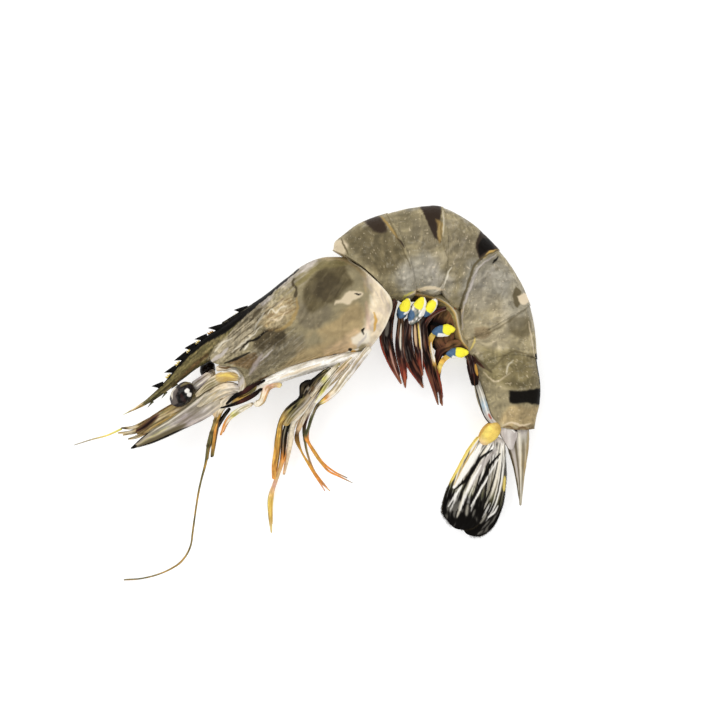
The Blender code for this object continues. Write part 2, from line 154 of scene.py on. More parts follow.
def along(points: Array, shares: Array) -> Array:
    """Points at these shares of the plan length of the smooth curve through the given ones.

    Args:
        points: At least two points; their plan is x and y.
        shares: Shares of the length, from 0 to 1.

    Returns:
        One point for each share.
    """
    points = np.asarray(points, float)
    steps = np.linalg.norm(np.diff(points[:, :2], axis=0), axis=1)
    knots = np.append(0, np.cumsum(np.maximum(steps, TINY)))
    return spline(knots, points, np.asarray(shares) * knots[-1])


def lattice(cell: Array, seed: int) -> Array:
    """A repeatable number from -1 to 1 for each whole-numbered cell, by mixing its coordinates with primes.

    Args:
        cell: Whole-numbered coordinates.
        seed: Choice of pattern.

    Returns:
        One number for each cell.
    """
    code = cell[..., 0] * 73856093 ^ cell[..., 1] * 19349663 ^ cell[..., 2] * 83492791 ^ (seed + 1) * 40503
    code = (code ^ (code >> 13)) * 1274126177 & 0xFFFFFFFF
    code = (code ^ (code >> 16)) * 668265263 & 0xFFFFFFFF
    return ((code >> 8) & 0xFFFF) / 32767.5 - 1


def noise(place: Array, seed: int) -> Array:
    """Smooth lattice noise: the eight corner numbers of each cell, blended by the smooth step of each axis.

    Args:
        place: Points, in cells.
        seed: Choice of pattern.

    Returns:
        One number for each point.
    """
    cell = np.floor(place).astype(np.int64)
    share = smooth_rise(place - cell)
    total = np.zeros(len(place))
    for corner in range(8):
        step = np.array([corner & 1, corner >> 1 & 1, corner >> 2 & 1])
        weight = np.prod(np.where(step, share, 1 - share), axis=1)
        total += weight * lattice(cell + step, seed)
    return total


def clouds(place: Array, size: float, octaves: int, seed: int) -> Array:
    """Layered noise from -1 to 1: each layer is half as large and half as strong as the one before.

    Args:
        place: Points in millimetres.
        size: Width of the largest blotches in millimetres.
        octaves: Number of layers.
        seed: Choice of pattern.

    Returns:
        One number for each point.
    """
    total = np.zeros(len(place))
    for layer in range(octaves):
        total += noise(place * 2**layer / size + 17.3 * layer, seed + layer) / 2**layer
    return total / 1.5


@dataclass(frozen=True)
class Streak:
    """A brushed line, faded over a soft edge, raised or sunk by lift.

    Its smooth route is of (x, y, half width), or of (x, y) with half as the half width, thinned towards both ends.
    """

    tone: Tone
    strength: float
    soft: float
    route: tuple
    half: float = 0.25
    lift: float = 0.0

    def edge(self, plan: Array, line: Array) -> Array:
        """Distance outside the line's edge, least over its straight bits, negative inside.

        Args:
            plan: Points to measure.
            line: The filled-in route.

        Returns:
            One distance in millimetres for each point.
        """
        run = np.diff(line[:, :2], axis=0)
        length = np.maximum((run**2).sum(axis=1), TINY)
        away = plan[:, None, :] - line[None, :-1, :2]
        share = np.clip((away * run).sum(axis=2) / length, 0, 1)
        gap = np.linalg.norm(away - share[:, :, None] * run, axis=2)
        half = line[:-1, 2] + np.diff(line[:, 2]) * share
        return (gap - half).min(axis=1)

    def line(self) -> Array:
        """The route filled in smoothly, with its half widths."""
        shares = np.linspace(0, 1, 6 * len(self.route) - 5)
        line = along(self.route, shares)
        if line.shape[1] == 2:
            line = np.column_stack([line, self.half * (0.4 + 0.6 * np.sin(math.pi * shares))])
        return line

    def cover(self, plan: Array) -> Array:
        """How much of the mark lies on each point, from 0 to its strength.

        Args:
            plan: Points to cover.

        Returns:
            One cover for each point.
        """
        line = self.line()
        reach = self.soft + line[:, 2].max()
        near = np.all((plan > line[:, :2].min(0) - reach) & (plan < line[:, :2].max(0) + reach), axis=1)
        found = np.zeros(len(plan))
        if near.any():
            found[near] = smooth_rise(0.5 - self.edge(plan[near], line) / self.soft)
        return found * self.strength


@dataclass(frozen=True)
class Patch(Streak):
    """A closed area of colour: its route of (x, y) is its outline."""

    def line(self) -> Array:
        """The outline filled in smoothly, its last point joined to its first."""
        line = along((*self.route, self.route[0]), np.linspace(0, 1, 6 * len(self.route) + 1))
        return np.column_stack([line, np.zeros(len(line))])

    def edge(self, plan: Array, line: Array) -> Array:
        """Distance outside the outline, negative where a ray to the right crosses it an odd number of times.

        Args:
            plan: Points to measure.
            line: The filled-in outline.

        Returns:
            One distance in millimetres for each point.
        """
        gap = super().edge(plan, line)
        first, last = line[:-1], line[1:]
        spans = (first[:, 1] > plan[:, 1:]) != (last[:, 1] > plan[:, 1:])
        rise = np.where(last[:, 1] == first[:, 1], TINY, last[:, 1] - first[:, 1])
        cross = first[:, 0] + (plan[:, 1:] - first[:, 1]) * (last[:, 0] - first[:, 0]) / rise
        inside = (spans & (plan[:, :1] < cross)).sum(axis=1) % 2 == 1
        return np.where(inside, -gap, gap)


@dataclass(frozen=True)
class Brush:
    """Strokes of two colours: length and breadth, strength, direction and outline in plan, or span along a limb."""

    light: Tone
    dark: Tone
    strength: float = 0.6
    size: tuple[float, float] = (5.0, 0.35)
    turn: float = 0.0
    outline: tuple = ()
    soft: float = 1.5
    lift: float = 0.03
    span: tuple[float, float] = (0.0, 1.0)


class Paint:
    """Colour, gloss and relief of a set of surface points, laid on in coats."""

    def __init__(self, place: Array, ground: Tone, seed: int, warp: float = 0.3, gloss: float = 0.6) -> None:
        """Starts with one ground colour. Marks wander by warp so that no edge is drawn with a ruler.

        Args:
            place: Points in millimetres.
            ground: First colour.
            seed: Choice of noise.
            warp: How far marks wander, in millimetres.
            gloss: First gloss, from 0 to 1.
        """
        self.place = place
        self.seed = seed
        self.colour = np.tile(ground.display, (len(place), 1))
        self.gloss = np.full(len(place), gloss)
        self.lift = np.zeros(len(place))
        spread = 1 + np.abs(place[:, 2:] - MID_HEIGHT) / VIEW_HEIGHT
        self.plan = VIEW_CENTRE + (place[:, :2] - VIEW_CENTRE) * spread
        self.warp = warp

    def wander(self, size: float, octaves: int) -> Array:
        """Two unlike noises, which push points about in plan."""
        seeds = (self.seed + WANDER_SEED, self.seed + WANDER_SEED + 1)
        return np.stack([clouds(self.place, size, octaves, seed) for seed in seeds], axis=1)

    def coat(self, tone: Tone, cover: Array) -> None:
        """Lays a colour on by its cover, from 0 to 1."""
        self.colour += (tone.display - self.colour) * np.clip(cover, 0, 1)[:, None]

    def marks(self, marks: tuple, drift: float = 0.0) -> None:
        """Lays on streaks and patches in turn, each with its relief; drift pushes them about more widely.

        Args:
            marks: Streaks and patches, the lowest first.
            drift: How far the wider push goes, in millimetres.
        """
        plan = self.plan + self.warp * self.wander(1.3, 3)
        if drift:
            plan = plan + drift * self.wander(4.5, 3)
        for mark in marks:
            cover = mark.cover(plan)
            self.coat(mark.tone, cover)
            self.lift += mark.lift * cover

    def shade(self, amount: Array) -> None:
        """Brightens or darkens by a share of the colour itself."""
        self.colour *= (1 + amount)[:, None]

    def mottle(self, size: float, amount: float, octaves: int = 3) -> None:
        """Blotches of lighter and darker colour."""
        self.shade(amount * clouds(self.place, size, octaves, self.seed + int(size * 10)))

    def veins(self, tone: Tone, size: float, width: float, strength: float) -> None:
        """Fine wandering threads, where noise of the given size crosses zero, broken up by wider noise.

        Args:
            tone: Colour of the threads.
            size: Width of the loops in millimetres.
            width: How far from zero the noise still counts.
            strength: Cover along a thread.
        """
        seed = self.seed + VEIN_SEED
        field = np.abs(clouds(self.place, size, 2, seed))
        breaks = smooth_rise(0.5 + 1.6 * clouds(self.place, size * 2.5, 1, seed + 1))
        self.coat(tone, strength * smooth_rise(1 - field / width) * breaks)

    def flecks(self, tone: Tone, size: float, least: float, strength: float, shown: Array | float = 1.0) -> None:
        """Small spots of a tone where fine noise of two sizes is over the least value.

        Args:
            tone: Colour of the spots.
            size: Their width in millimetres.
            least: Noise value at which a spot starts.
            strength: Cover in its middle.
            shown: Where on the piece they lie, from 0 to 1.
        """
        seed = self.seed + FLECK_SEED
        field = noise(self.place / size, seed) + 0.3 * noise(self.place / size * 2.3, seed + 1)
        self.coat(tone, strength * smooth_rise((field - least) / 0.2) * shown)

    def strokes(self, flow: Array, brush: Brush, shown: Array | float = 1.0) -> None:
        """Brush strokes, from noise drawn out along the flow: light where it is high, dark and sunk where it is low.

        Args:
            flow: Each point's place along and across the strokes, in millimetres.
            brush: Colours, size and strength.
            shown: Where on the piece they lie, from 0 to 1.
        """
        spot = np.column_stack([flow / brush.size, self.place[:, 2] / 3])
        spot[:, 1] += 0.7 * noise(self.place / 3, self.seed + STROKE_SEED)
        seed = self.seed + STROKE_SEED + 1 + int(brush.size[1] * 100)
        field = 1.5 * noise(spot, seed) + 0.9 * noise(2.2 * spot + 5, seed + 1)
        self.coat(brush.light, brush.strength * smooth_rise(field) * shown)
        self.coat(brush.dark, brush.strength * smooth_rise(-field) * shown)
        self.lift += brush.lift * np.tanh(field) * shown

    def brush(self, *brushes: Brush) -> None:
        """Lays strokes on in plan, each within its outline and along its own direction."""
        for brush in brushes:
            turn = math.radians(brush.turn)
            way = np.array([[math.cos(turn), -math.sin(turn)], [math.sin(turn), math.cos(turn)]])
            shown = 1.0
            if brush.outline:
                plan = self.plan + 0.6 * self.wander(3.0, 2)
                shown = Patch(brush.light, 1.0, brush.soft, brush.outline).cover(plan)
            self.strokes(self.plan @ way, brush, shown)

    def crinkle_with_painted_shade(self, size: float, amount: float, relief: float, shown: Array | float = 1.0) -> None:
        """Crumpled skin with painted shade: ridges where warped noise crosses zero, painted brighter on the slopes that
        face up and left and darker on the others, as if lit from the upper left.

        Args:
            size: Width of the folds in millimetres.
            amount: How strong the painted light and shade on the slopes are.
            relief: Height of the ridges in millimetres.
            shown: Where on the piece it is, from 0 to 1.
        """
        seed = self.seed + FOLD_SEED + int(size * 10)
        push = np.stack([noise(self.place / size + 3 * axis, seed + axis) for axis in range(3)], axis=1)
        spot = self.place / size + 0.5 * push
        fields = []
        for way in (-1, 1):
            near = spot + way * np.array([0.11, -0.11, -0.05])
            fields.append(-np.abs(noise(near, seed + 4)) - 0.6 * np.abs(noise(2.3 * near, seed + 5)))
        # Painted light and shade: the slope between the two shifted fields, brighter where it faces the upper left.
        self.shade(amount * 2 * (fields[1] - fields[0]) * shown)
        self.lift += relief * (fields[0] + fields[1]) * shown

    def attribute(self) -> Array:
        """Red, green and blue in linear light, and gloss, for each point."""
        share = np.clip(self.colour, 0, 1)
        linear = np.where(share <= 0.04045, share / 12.92, ((share + 0.055) / 1.055) ** 2.4)
        return np.column_stack([linear, np.clip(self.gloss, 0, 1)])


def outward(rings: Array) -> Array:
    """Unit normals of a grid of closed rings: the cross product of its two directions, turned outwards."""
    length = np.gradient(rings, axis=0)
    wrapped = np.concatenate([rings[:, -1:], rings, rings[:, :1]], axis=1)
    round_way = wrapped[:, 2:] - wrapped[:, :-2]
    normal = np.cross(length, round_way)
    normal /= np.maximum(np.linalg.norm(normal, axis=2), TINY)[:, :, None]
    middle = rings.mean(axis=1, keepdims=True)
    return normal * np.sign(((rings - middle) * normal).sum())


class Skin:
    """The meshes of one piece while they are put together."""

    def __init__(self, name: str) -> None:
        """Starts an empty piece."""
        self.name = name
        self.points: list[Array] = []
        self.paint: list[Array] = []
        self.quads: list[Array] = []
        self.triangles: list[Array] = []
        self.count = 0

    def add(self, points: Array, paint: Array, quads: Array, triangles: Array) -> None:
        """Adds points with their paint, and faces counted from the first of them, turned to face outwards."""
        corners = points[np.concatenate([quads[:, :3], quads[:, [0, 2, 3]], triangles])]
        if np.linalg.det(corners - points.mean(axis=0)).sum() < 0:
            quads, triangles = quads[:, ::-1], triangles[:, ::-1]
        self.points.append(points)
        self.paint.append(paint)
        self.quads.append(quads + self.count)
        self.triangles.append(triangles + self.count)
        self.count += len(points)

    def wrap(self, rings: Array, paint: Paint) -> None:
        """Adds a closed surface over rings, raised by the paint's relief and drawn together at both ends.

        Args:
            rings: Stations by sides by three.
            paint: Paint of the ring points, in the same order.
        """
        stations, sides, _ = rings.shape
        rings = rings + outward(rings) * paint.lift.reshape(stations, sides, 1)
        rings[:, :, 2] = np.maximum(rings[:, :, 2], 0)
        ends = rings[[0, -1]].mean(axis=1)
        shown = paint.attribute()
        end_paint = [shown[:sides].mean(axis=0), shown[-sides:].mean(axis=0)]
        grid = np.arange(stations * sides).reshape(stations, sides)
        beside = np.roll(grid, -1, axis=1)
        quads = np.stack([grid[:-1], grid[1:], beside[1:], beside[:-1]], axis=-1).reshape(-1, 4)
        pole = np.full(sides, stations * sides)
        caps = np.concatenate([
            np.stack([pole, grid[0], beside[0]], axis=1),
            np.stack([pole + 1, beside[-1], grid[-1]], axis=1),
        ])
        self.add(
            np.concatenate([rings.reshape(-1, 3), ends]), np.concatenate([shown, end_paint]), quads, caps
        )

    def hairs(self, roots: Array, tips: Array, thickness: float, tone: Tone) -> None:
        """Adds fine bristles: each is a three-sided spike from its root to its tip.

        Args:
            roots: Start of each bristle.
            tips: End of each bristle.
            thickness: Radius at the root.
            tone: Colour.
        """
        corner = 2 * math.pi * np.arange(3) / 3
        way = tips - roots
        way = way / np.maximum(np.linalg.norm(way, axis=1), TINY)[:, None]
        aside = np.cross(way, [0.31, 0.2, 0.93])
        aside /= np.linalg.norm(aside, axis=1)[:, None]
        up = np.cross(aside, way)
        base = roots[:, None] + thickness * (
            aside[:, None] * np.cos(corner)[None, :, None] + up[:, None] * np.sin(corner)[None, :, None]
        )
        points = np.concatenate([base, tips[:, None]], axis=1).reshape(-1, 3)
        points[:, 2] = np.maximum(points[:, 2], 0)
        first = 4 * np.arange(len(roots))[:, None]
        faces = np.array([[0, 1, 3], [1, 2, 3], [2, 0, 3], [2, 1, 0]])
        triangles = (first[:, :, None] + faces[None]).reshape(-1, 3)
        self.add(points, Paint(points, tone, 0).attribute(), np.zeros((0, 4), int), triangles)

    def build(self, finish: "Finish", slot: str, *nodes: str) -> bpy.types.Object:
        """Makes the object, dresses it, and lets it stand for its CAD nodes.

        Args:
            finish: Material.
            slot: The record's material slot; not used.
            nodes: CAD nodes that it replaces.

        Returns:
            The finished object.
        """
        points = np.concatenate(self.points) * MM
        quads = np.concatenate(self.quads)
        triangles = np.concatenate(self.triangles)
        mesh = bpy.data.meshes.new(self.name)
        mesh.from_pydata(points, [], [*quads.tolist(), *triangles.tolist()])
        mesh.shade_smooth()
        layer = mesh.color_attributes.new("paint", "FLOAT_COLOR", "POINT")
        layer.data.foreach_set("color", np.concatenate(self.paint).astype(np.float32).ravel())
        mesh.materials.append(finish.material())
        piece = bpy.data.objects.new(self.name, mesh)
        bpy.context.scene.collection.objects.link(piece)
        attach(piece, "root")
        if nodes:
            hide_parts(*nodes)
        low, high = points.min(axis=0) / MM, points.max(axis=0) / MM
        log.info("%s: %d faces, %s to %s mm", self.name, len(mesh.polygons), low.round(1), high.round(1))
        return piece


def grain_group() -> bpy.types.NodeTree:
    """The node group of fine grain that all finishes share, made once: it varies colour, roughness and height."""
    made = bpy.data.node_groups.get("wet_grain")
    if made:
        return made
    tree = bpy.data.node_groups.new("wet_grain", "ShaderNodeTree")
    for way, kind, names in (
        ("INPUT", "NodeSocketVector", ("Vector",)), ("INPUT", "NodeSocketColor", ("Paint",)),
        ("INPUT", "NodeSocketFloat", ("Gloss", "Grain", "Contrast", "Dullest", "Glossiest")),
        ("OUTPUT", "NodeSocketColor", ("Color",)), ("OUTPUT", "NodeSocketFloat", ("Roughness", "Height")),
    ):
        for name in names:
            tree.interface.new_socket(name, in_out=way, socket_type=kind)
    given = tree.nodes.new("NodeGroupInput")
    result = tree.nodes.new("NodeGroupOutput")
    fine = tree.nodes.new("ShaderNodeTexNoise")
    fine.inputs["Detail"].default_value = 3.0
    fine.inputs["Roughness"].default_value = 0.6
    centred = tree.nodes.new("ShaderNodeMath")
    centred.operation = "SUBTRACT"
    centred.inputs[1].default_value = 0.5
    change = tree.nodes.new("ShaderNodeMath")
    change.operation = "MULTIPLY_ADD"
    change.inputs[2].default_value = 1.0
    tinted = tree.nodes.new("ShaderNodeVectorMath")
    tinted.operation = "SCALE"
    dull = tree.nodes.new("ShaderNodeMapRange")
    rough = tree.nodes.new("ShaderNodeMath")
    rough.operation = "MULTIPLY"
    for start, end in (
        (given.outputs["Vector"], fine.inputs["Vector"]),
        (given.outputs["Grain"], fine.inputs["Scale"]),
        (fine.outputs["Fac"], centred.inputs[0]),
        (centred.outputs[0], change.inputs[0]),
        (given.outputs["Contrast"], change.inputs[1]),
        (given.outputs["Paint"], tinted.inputs[0]),
        (change.outputs[0], tinted.inputs["Scale"]),
        (given.outputs["Gloss"], dull.inputs["Value"]),
        (given.outputs["Dullest"], dull.inputs["To Min"]),
        (given.outputs["Glossiest"], dull.inputs["To Max"]),
        (dull.outputs["Result"], rough.inputs[0]),
        (change.outputs[0], rough.inputs[1]),
        (tinted.outputs["Vector"], result.inputs["Color"]),
        (rough.outputs[0], result.inputs["Roughness"]),
        (fine.outputs["Fac"], result.inputs["Height"]),
    ):
        tree.links.new(start, end)
    return tree


@dataclass(frozen=True)
class Finish:
    """A wet, painted surface: how fine and strong its grain is, how dull or glossy it gets, and its wet film."""

    name: str
    grain: float = 3500.0
    contrast: float = 0.35
    dullest: float = 0.75
    glossiest: float = 0.25
    wetness: float = 0.03
    film_roughness: float = 0.12
    relief: float = 0.25
    reflection: float = 0.03

    def material(self) -> bpy.types.Material:
        """The finish's material, made the first time it is asked for."""
        made = bpy.data.materials.get(self.name)
        if made:
            return made
        material = bpy.data.materials.new(self.name)
        material.use_nodes = True
        tree = material.node_tree
        surface = tree.nodes["Principled BSDF"]
        place = tree.nodes.new("ShaderNodeTexCoord")
        paint = tree.nodes.new("ShaderNodeAttribute")
        paint.attribute_name = "paint"
        grain = tree.nodes.new("ShaderNodeGroup")
        grain.node_tree = grain_group()
        bump = tree.nodes.new("ShaderNodeBump")
        for node, name, value in (
            (surface, "Specular IOR Level", self.reflection), (surface, "Coat Weight", self.wetness),
            (surface, "Coat Roughness", self.film_roughness), (grain, "Grain", self.grain),
            (grain, "Contrast", self.contrast), (grain, "Dullest", self.dullest),
            (grain, "Glossiest", self.glossiest), (bump, "Strength", self.relief), (bump, "Distance", 0.1 * MM),
        ):
            node.inputs[name].default_value = value
        for start, end in (
            (place.outputs["Object"], grain.inputs["Vector"]),
            (paint.outputs["Color"], grain.inputs["Paint"]),
            (paint.outputs["Alpha"], grain.inputs["Gloss"]),
            (grain.outputs["Color"], surface.inputs["Base Color"]),
            (grain.outputs["Roughness"], surface.inputs["Roughness"]),
            (grain.outputs["Height"], bump.inputs["Height"]),
            (bump.outputs["Normal"], surface.inputs["Normal"]),
        ):
            tree.links.new(start, end)
        return material


SHELL_FINISH = Finish("painted_shell", contrast=0.12, relief=0.18)
SOFT_FINISH = Finish("painted_skin", grain=2500.0, contrast=0.3)
BLADE_FINISH = Finish("painted_scale", grain=3000.0, contrast=0.25)
EYE_FINISH = Finish(
    "painted_eye", grain=6000.0, contrast=0.3, dullest=0.3, glossiest=0.1, wetness=0.25, film_roughness=0.04,
)
LEG_FINISH = Finish("painted_leg", grain=5000.0, contrast=0.35)
SWIM_FINISH = Finish("painted_swimmeret", grain=4500.0, contrast=0.5)
TAIL_FINISH = Finish("painted_tail", grain=4000.0, contrast=0.4)
FEELER_FINISH = Finish("painted_feeler", grain=6000.0, contrast=0.35)


def tailward(dorsal: Array, ventral: Array) -> Array:
    """The unit direction across each rung from back to belly, turned towards the tail."""
    rung = ventral - dorsal
    turned = np.stack([-rung[:, 1], rung[:, 0]], axis=1)
    return turned / np.linalg.norm(turned, axis=1)[:, None]


@dataclass
class Rungs:
    """A body drawn as rungs from back to belly, each the middle line of a closed oval ring."""

    dorsal: Array
    ventral: Array
    half_width: Array
    height: Array
    fullness: float = 1.0
    squareness: float = 0.8

    def around(self, sides: int) -> tuple[Array, Array]:
        """The angle round a ring and its share of the way from back to belly.

        Args:
            sides: Points on a ring.

        Returns:
            Angles, and shares: half of one less the cosine, to the power of fullness.
        """
        angle = 2 * math.pi * np.arange(sides) / sides
        return angle, ((1 - np.cos(angle)) / 2) ** self.fullness

    def rings(self, bow: Array) -> Array:
        """The rings: back plus rung times share, pushed tailward by bow, and half width times the sine for height.

        Args:
            bow: Stations by sides, in millimetres towards the tail.

        Returns:
            Stations by sides by three.
        """
        angle, across = self.around(bow.shape[1])
        out = np.sign(np.sin(angle)) * np.abs(np.sin(angle)) ** self.squareness
        rung = (self.ventral - self.dorsal)[:, None, :]
        flat = self.dorsal[:, None, :] + rung * across[None, :, None]
        flat = flat + tailward(self.dorsal, self.ventral)[:, None, :] * bow[:, :, None]
        up = self.height[:, None] + self.half_width[:, None] * out
        return np.concatenate([flat, np.maximum(up, 0)[:, :, None]], axis=2)


def scaled(rings: Array, sizes: Array) -> Array:
    """Rings drawn in, each by its own size, about middles that lie mostly in line with their bowed sides."""
    sides = rings.shape[1]
    ends = (rings[:, 0] + rings[:, sides // 2]) / 2
    flanks = (rings[:, sides // 4] + rings[:, 3 * sides // 4]) / 2
    middle = (0.1 * ends + 0.9 * flanks)[:, None, :]
    return middle + (rings - middle) * sizes[:, None, None]


def turned_rim(rings: Array, rungs: Rungs, pushes: tuple) -> None:
    """Pushes the last rings towards the tail by the given millimetres, so that the rear edge folds back inside."""
    way = tailward(rungs.dorsal[-1:], rungs.ventral[-1:])[0]
    rings[-len(pushes):, :, :2] += way * np.array(pushes)[:, None, None]


@dataclass
class Carapace:
    """The head shield: rungs from its back edge to its cheek edge, with a lipped rear rim and a notched front."""

    half_width: float = 12.0
    dorsal: tuple = (
        (-25.5, 21.9), (-20.1, 25.2), (-13.5, 29.4), (-6.6, 34.8), (-0.6, 39.3), (4.5, 41.2), (12.0, 41.4),
    )
    ventral: tuple = ((-18.0, 1.2), (-13.5, 3.9), (-5.1, 7.8), (0.9, 9.6), (8.4, 11.4), (12.9, 12.0), (17.1, 12.9))
    widths: tuple = ((0.0, 0.58), (0.25, 0.82), (0.5, 0.97), (0.75, 1.0), (1.0, 0.93))
    front_edge: tuple = ((0, 0), (0.25, -4.0), (0.47, -6.6), (0.55, -4.6), (0.67, 0.2), (0.76, 1.2), (1, 0))
    rear_edge: tuple = (
        (0, 0), (0.06, 0.8), (0.14, 3.3), (0.28, 6.4), (0.4, 8.8), (0.52, 10.4), (0.62, 10.2), (0.72, 8.6),
        (0.81, 6.8), (0.92, 3.6), (1, 1.0),
    )
    keel: float = 0.8
    side_swell: float = 2.0
    front_sizes: tuple = (0.55, 0.93, 0.96, 0.985)
    rear_sizes: tuple = (0.995, 0.98, 0.965, 0.93, 0.85)
    rear_pushes: tuple = (0.25, 0.3, 0.2, -0.6, -1.5)
    crest_breadth: float = 0.038
    crest_soft: float = 0.016
    stations: int = 280
    sides: int = 320

    def shares(self) -> Array:
        """Positions along the shield; both ends repeat, so that their edges can turn in."""
        inner = np.linspace(0, 1, self.stations)
        return np.concatenate([np.zeros(len(self.front_sizes)), inner, np.ones(len(self.rear_sizes))])

    def rings(self) -> Array:
        """The shield's rings: the bow runs from the front edge's outline to the rear one's, with the sides' swell."""
        shares = self.shares()
        dorsal = along(self.dorsal, shares)
        ventral = along(self.ventral, shares)
        half = self.half_width * graded(self.widths, shares)
        body = Rungs(dorsal, ventral, half, np.full(len(shares), MID_HEIGHT), fullness=0.9)
        angle, across = body.around(self.sides)
        front = graded(self.front_edge, across)
        rear = graded(self.rear_edge, across)
        middle = self.side_swell * np.sin(angle) ** 2
        early = smooth_rise(1 - shares * 2)[:, None]
        late = smooth_rise(shares * 2 - 1)[:, None]
        bow = front * early + middle * (1 - early - late) + rear * late
        rings = body.rings(bow)
        rings[:, :, 2] -= (rings[:, :, 2] - MID_HEIGHT) * self.keel * early * (1 - across) ** 1.5
        turned_rim(rings, body, self.rear_pushes)
        return scaled(rings, np.array((*self.front_sizes, *[1.0] * self.stations, *self.rear_sizes)))

    def paint(self, rings: Array) -> Paint:
        """Washes, bands, spots and streaks of the shield's sides, alike on both sides; folds, with painted shade as if
        lit from the upper left, only on its front half; and one painted white glint.
        """
        place = rings.reshape(-1, 3)
        paint = Paint(place, Tone.SHELL, 11)
        front = smooth_rise((2 - place[:, 0]) / 14)
        paint.marks(CARAPACE_WASHES, drift=0.9)
        paint.mottle(5.0, 0.10)
        paint.mottle(1.2, 0.04)
        paint.brush(*CARAPACE_BRUSHES)
        # Both layers of folds carry painted light and shade, as if lit from the upper left.
        paint.crinkle_with_painted_shade(1.5, 0.18, 0.02, 0.15 + 0.85 * front)
        paint.crinkle_with_painted_shade(4.2, 0.07, 0.04)
        paint.marks(CARAPACE_MARKS)
        paint.flecks(Tone.CREAM, 0.35, 0.78, 0.45, 0.4 + 0.6 * front)
        paint.flecks(Tone.SEPIA, 0.4, 0.85, 0.5, front)
        along_shield = np.repeat(self.shares(), self.sides)
        paint.coat(Tone.BONE, 0.5 * smooth_rise((along_shield - 0.985) / 0.01))
        off_ridge = np.tile(1 - np.cos(2 * math.pi * np.arange(self.sides) / self.sides), len(self.shares()))
        crest = self.crest_breadth - 0.04 * np.clip((along_shield - 0.2) / 0.55, 0, 1)
        paint.coat(Tone.BLACK, 0.93 * smooth_rise((crest - off_ridge) / self.crest_soft))
        return paint

    def build(self) -> list[bpy.types.Object]:
        """Makes the shield."""
        rings = self.rings()
        skin = Skin("carapace_shield")
        skin.wrap(rings, self.paint(rings))
        return [skin.build(SHELL_FINISH, "shell", "carapace")]


DORSAL_BLACK = Streak(Tone.BLACK, 0.97, 0.3, (
    (-41.7, 4.8, 0.18), (-39, 8.4, 0.36), (-29.7, 17.1, 1.08), (-26.1, 19.3, 1.38), (-16.8, 26.1, 0.66),
    (-2.7, 37.6, 0.18),
))

CARAPACE_WASHES = (
    Patch(Tone.STONE, 0.9, 1.8, (
        (-27.9, 15.9), (-20.1, 23.7), (-12.3, 28.8), (-11.1, 25.5), (-14.7, 19.5), (-24.3, 12.6),
    )),
    Patch(Tone.SAND, 0.6, 1.2, (
        (-29.1, 11.7), (-25.5, 17.4), (-21.3, 20.1), (-15.3, 21.9), (-15.9, 18.9), (-22.5, 12.9), (-26.7, 10.2),
    )),
    Patch(Tone.STONE, 0.85, 3.0, (
        (-5.1, 18.3), (-0.6, 15.9), (-1.2, 12.3), (-6.6, 9.9), (-17.1, 5.7), (-17.1, 11.7),
    )),
    Patch(Tone.SEPIA, 0.9, 1.8, ((-16.8, 14.1), (-15.3, 17.4), (-8.1, 20.1), (-6.3, 18), (-12.9, 13.2))),
    Patch(Tone.BROWN, 0.7, 0.8, ((-24, 9.6), (-20.1, 11.4), (-16.2, 12.9), (-14.7, 10.2), (-17.1, 7.8))),
    Patch(Tone.TAN, 0.9, 2.2, ((-8.1, 7.5), (-2.1, 12.6), (8.7, 16.5), (12.9, 18.3), (15, 16.5), (6.9, 11.7))),
    Patch(Tone.TAN, 0.85, 2.4, ((6.3, 21.9), (15.6, 27.6), (16.8, 19.5), (8.7, 16.5), (4.5, 15.9), (2.7, 18.9))),
    Patch(Tone.PEACH, 0.75, 2.0, ((4.5, 12.9), (12.3, 17.7), (15.3, 19.5), (17.1, 17.7), (10.5, 12.3), (6.3, 11.1))),
    Patch(Tone.STONE, 0.75, 1.6, ((-2.7, 27.9), (4.5, 28.5), (7.2, 26.1), (2.1, 19.8), (-2.1, 20.7), (-3.6, 24.9))),
    Patch(Tone.UMBER, 1.0, 1.6, (
        (-1.2, 27.9), (-0.6, 32.4), (10.5, 39.6), (13.5, 32.4), (11.4, 31.2), (9.6, 28.8), (6, 27.6), (0.6, 24.9),
    )),
    Patch(Tone.SEPIA, 0.6, 1.6, ((1.2, 30.3), (3.3, 34.5), (7.5, 36.6), (10.2, 34.5), (9.3, 29.7), (4.5, 28.2))),
    Patch(Tone.TAN, 0.6, 2.2, ((-15.3, 21.3), (-4.5, 29.1), (-3, 26.7), (-10.5, 19.5))),
    Patch(Tone.CREAM, 0.25, 2.0, ((-11.7, 23.7), (-6.9, 27.9), (-4.8, 26.7), (-9.3, 21.9))),
    Streak(Tone.DRAB, 0.7, 1.0, ((-3.3, 33.3, 0.6), (3.3, 38.4, 1.05), (11.7, 39.6, 0.75))),
    Streak(Tone.LILAC, 0.8, 0.9, ((-13.5, 27.6, 0.48), (-1.5, 38.1, 0.84), (2.1, 40.2, 0.72))),
    Streak(Tone.TAN, 0.7, 0.8, ((3.3, 40.8), (11.7, 40.8), (17.1, 35.7), (17.7, 31.5)), 0.9),
    Patch(Tone.CREAM, 0.9, 2.4, ((16.5, 38.7), (25.5, 29.1), (18.3, 12.9), (17.1, 17.1), (19.2, 33))),
)

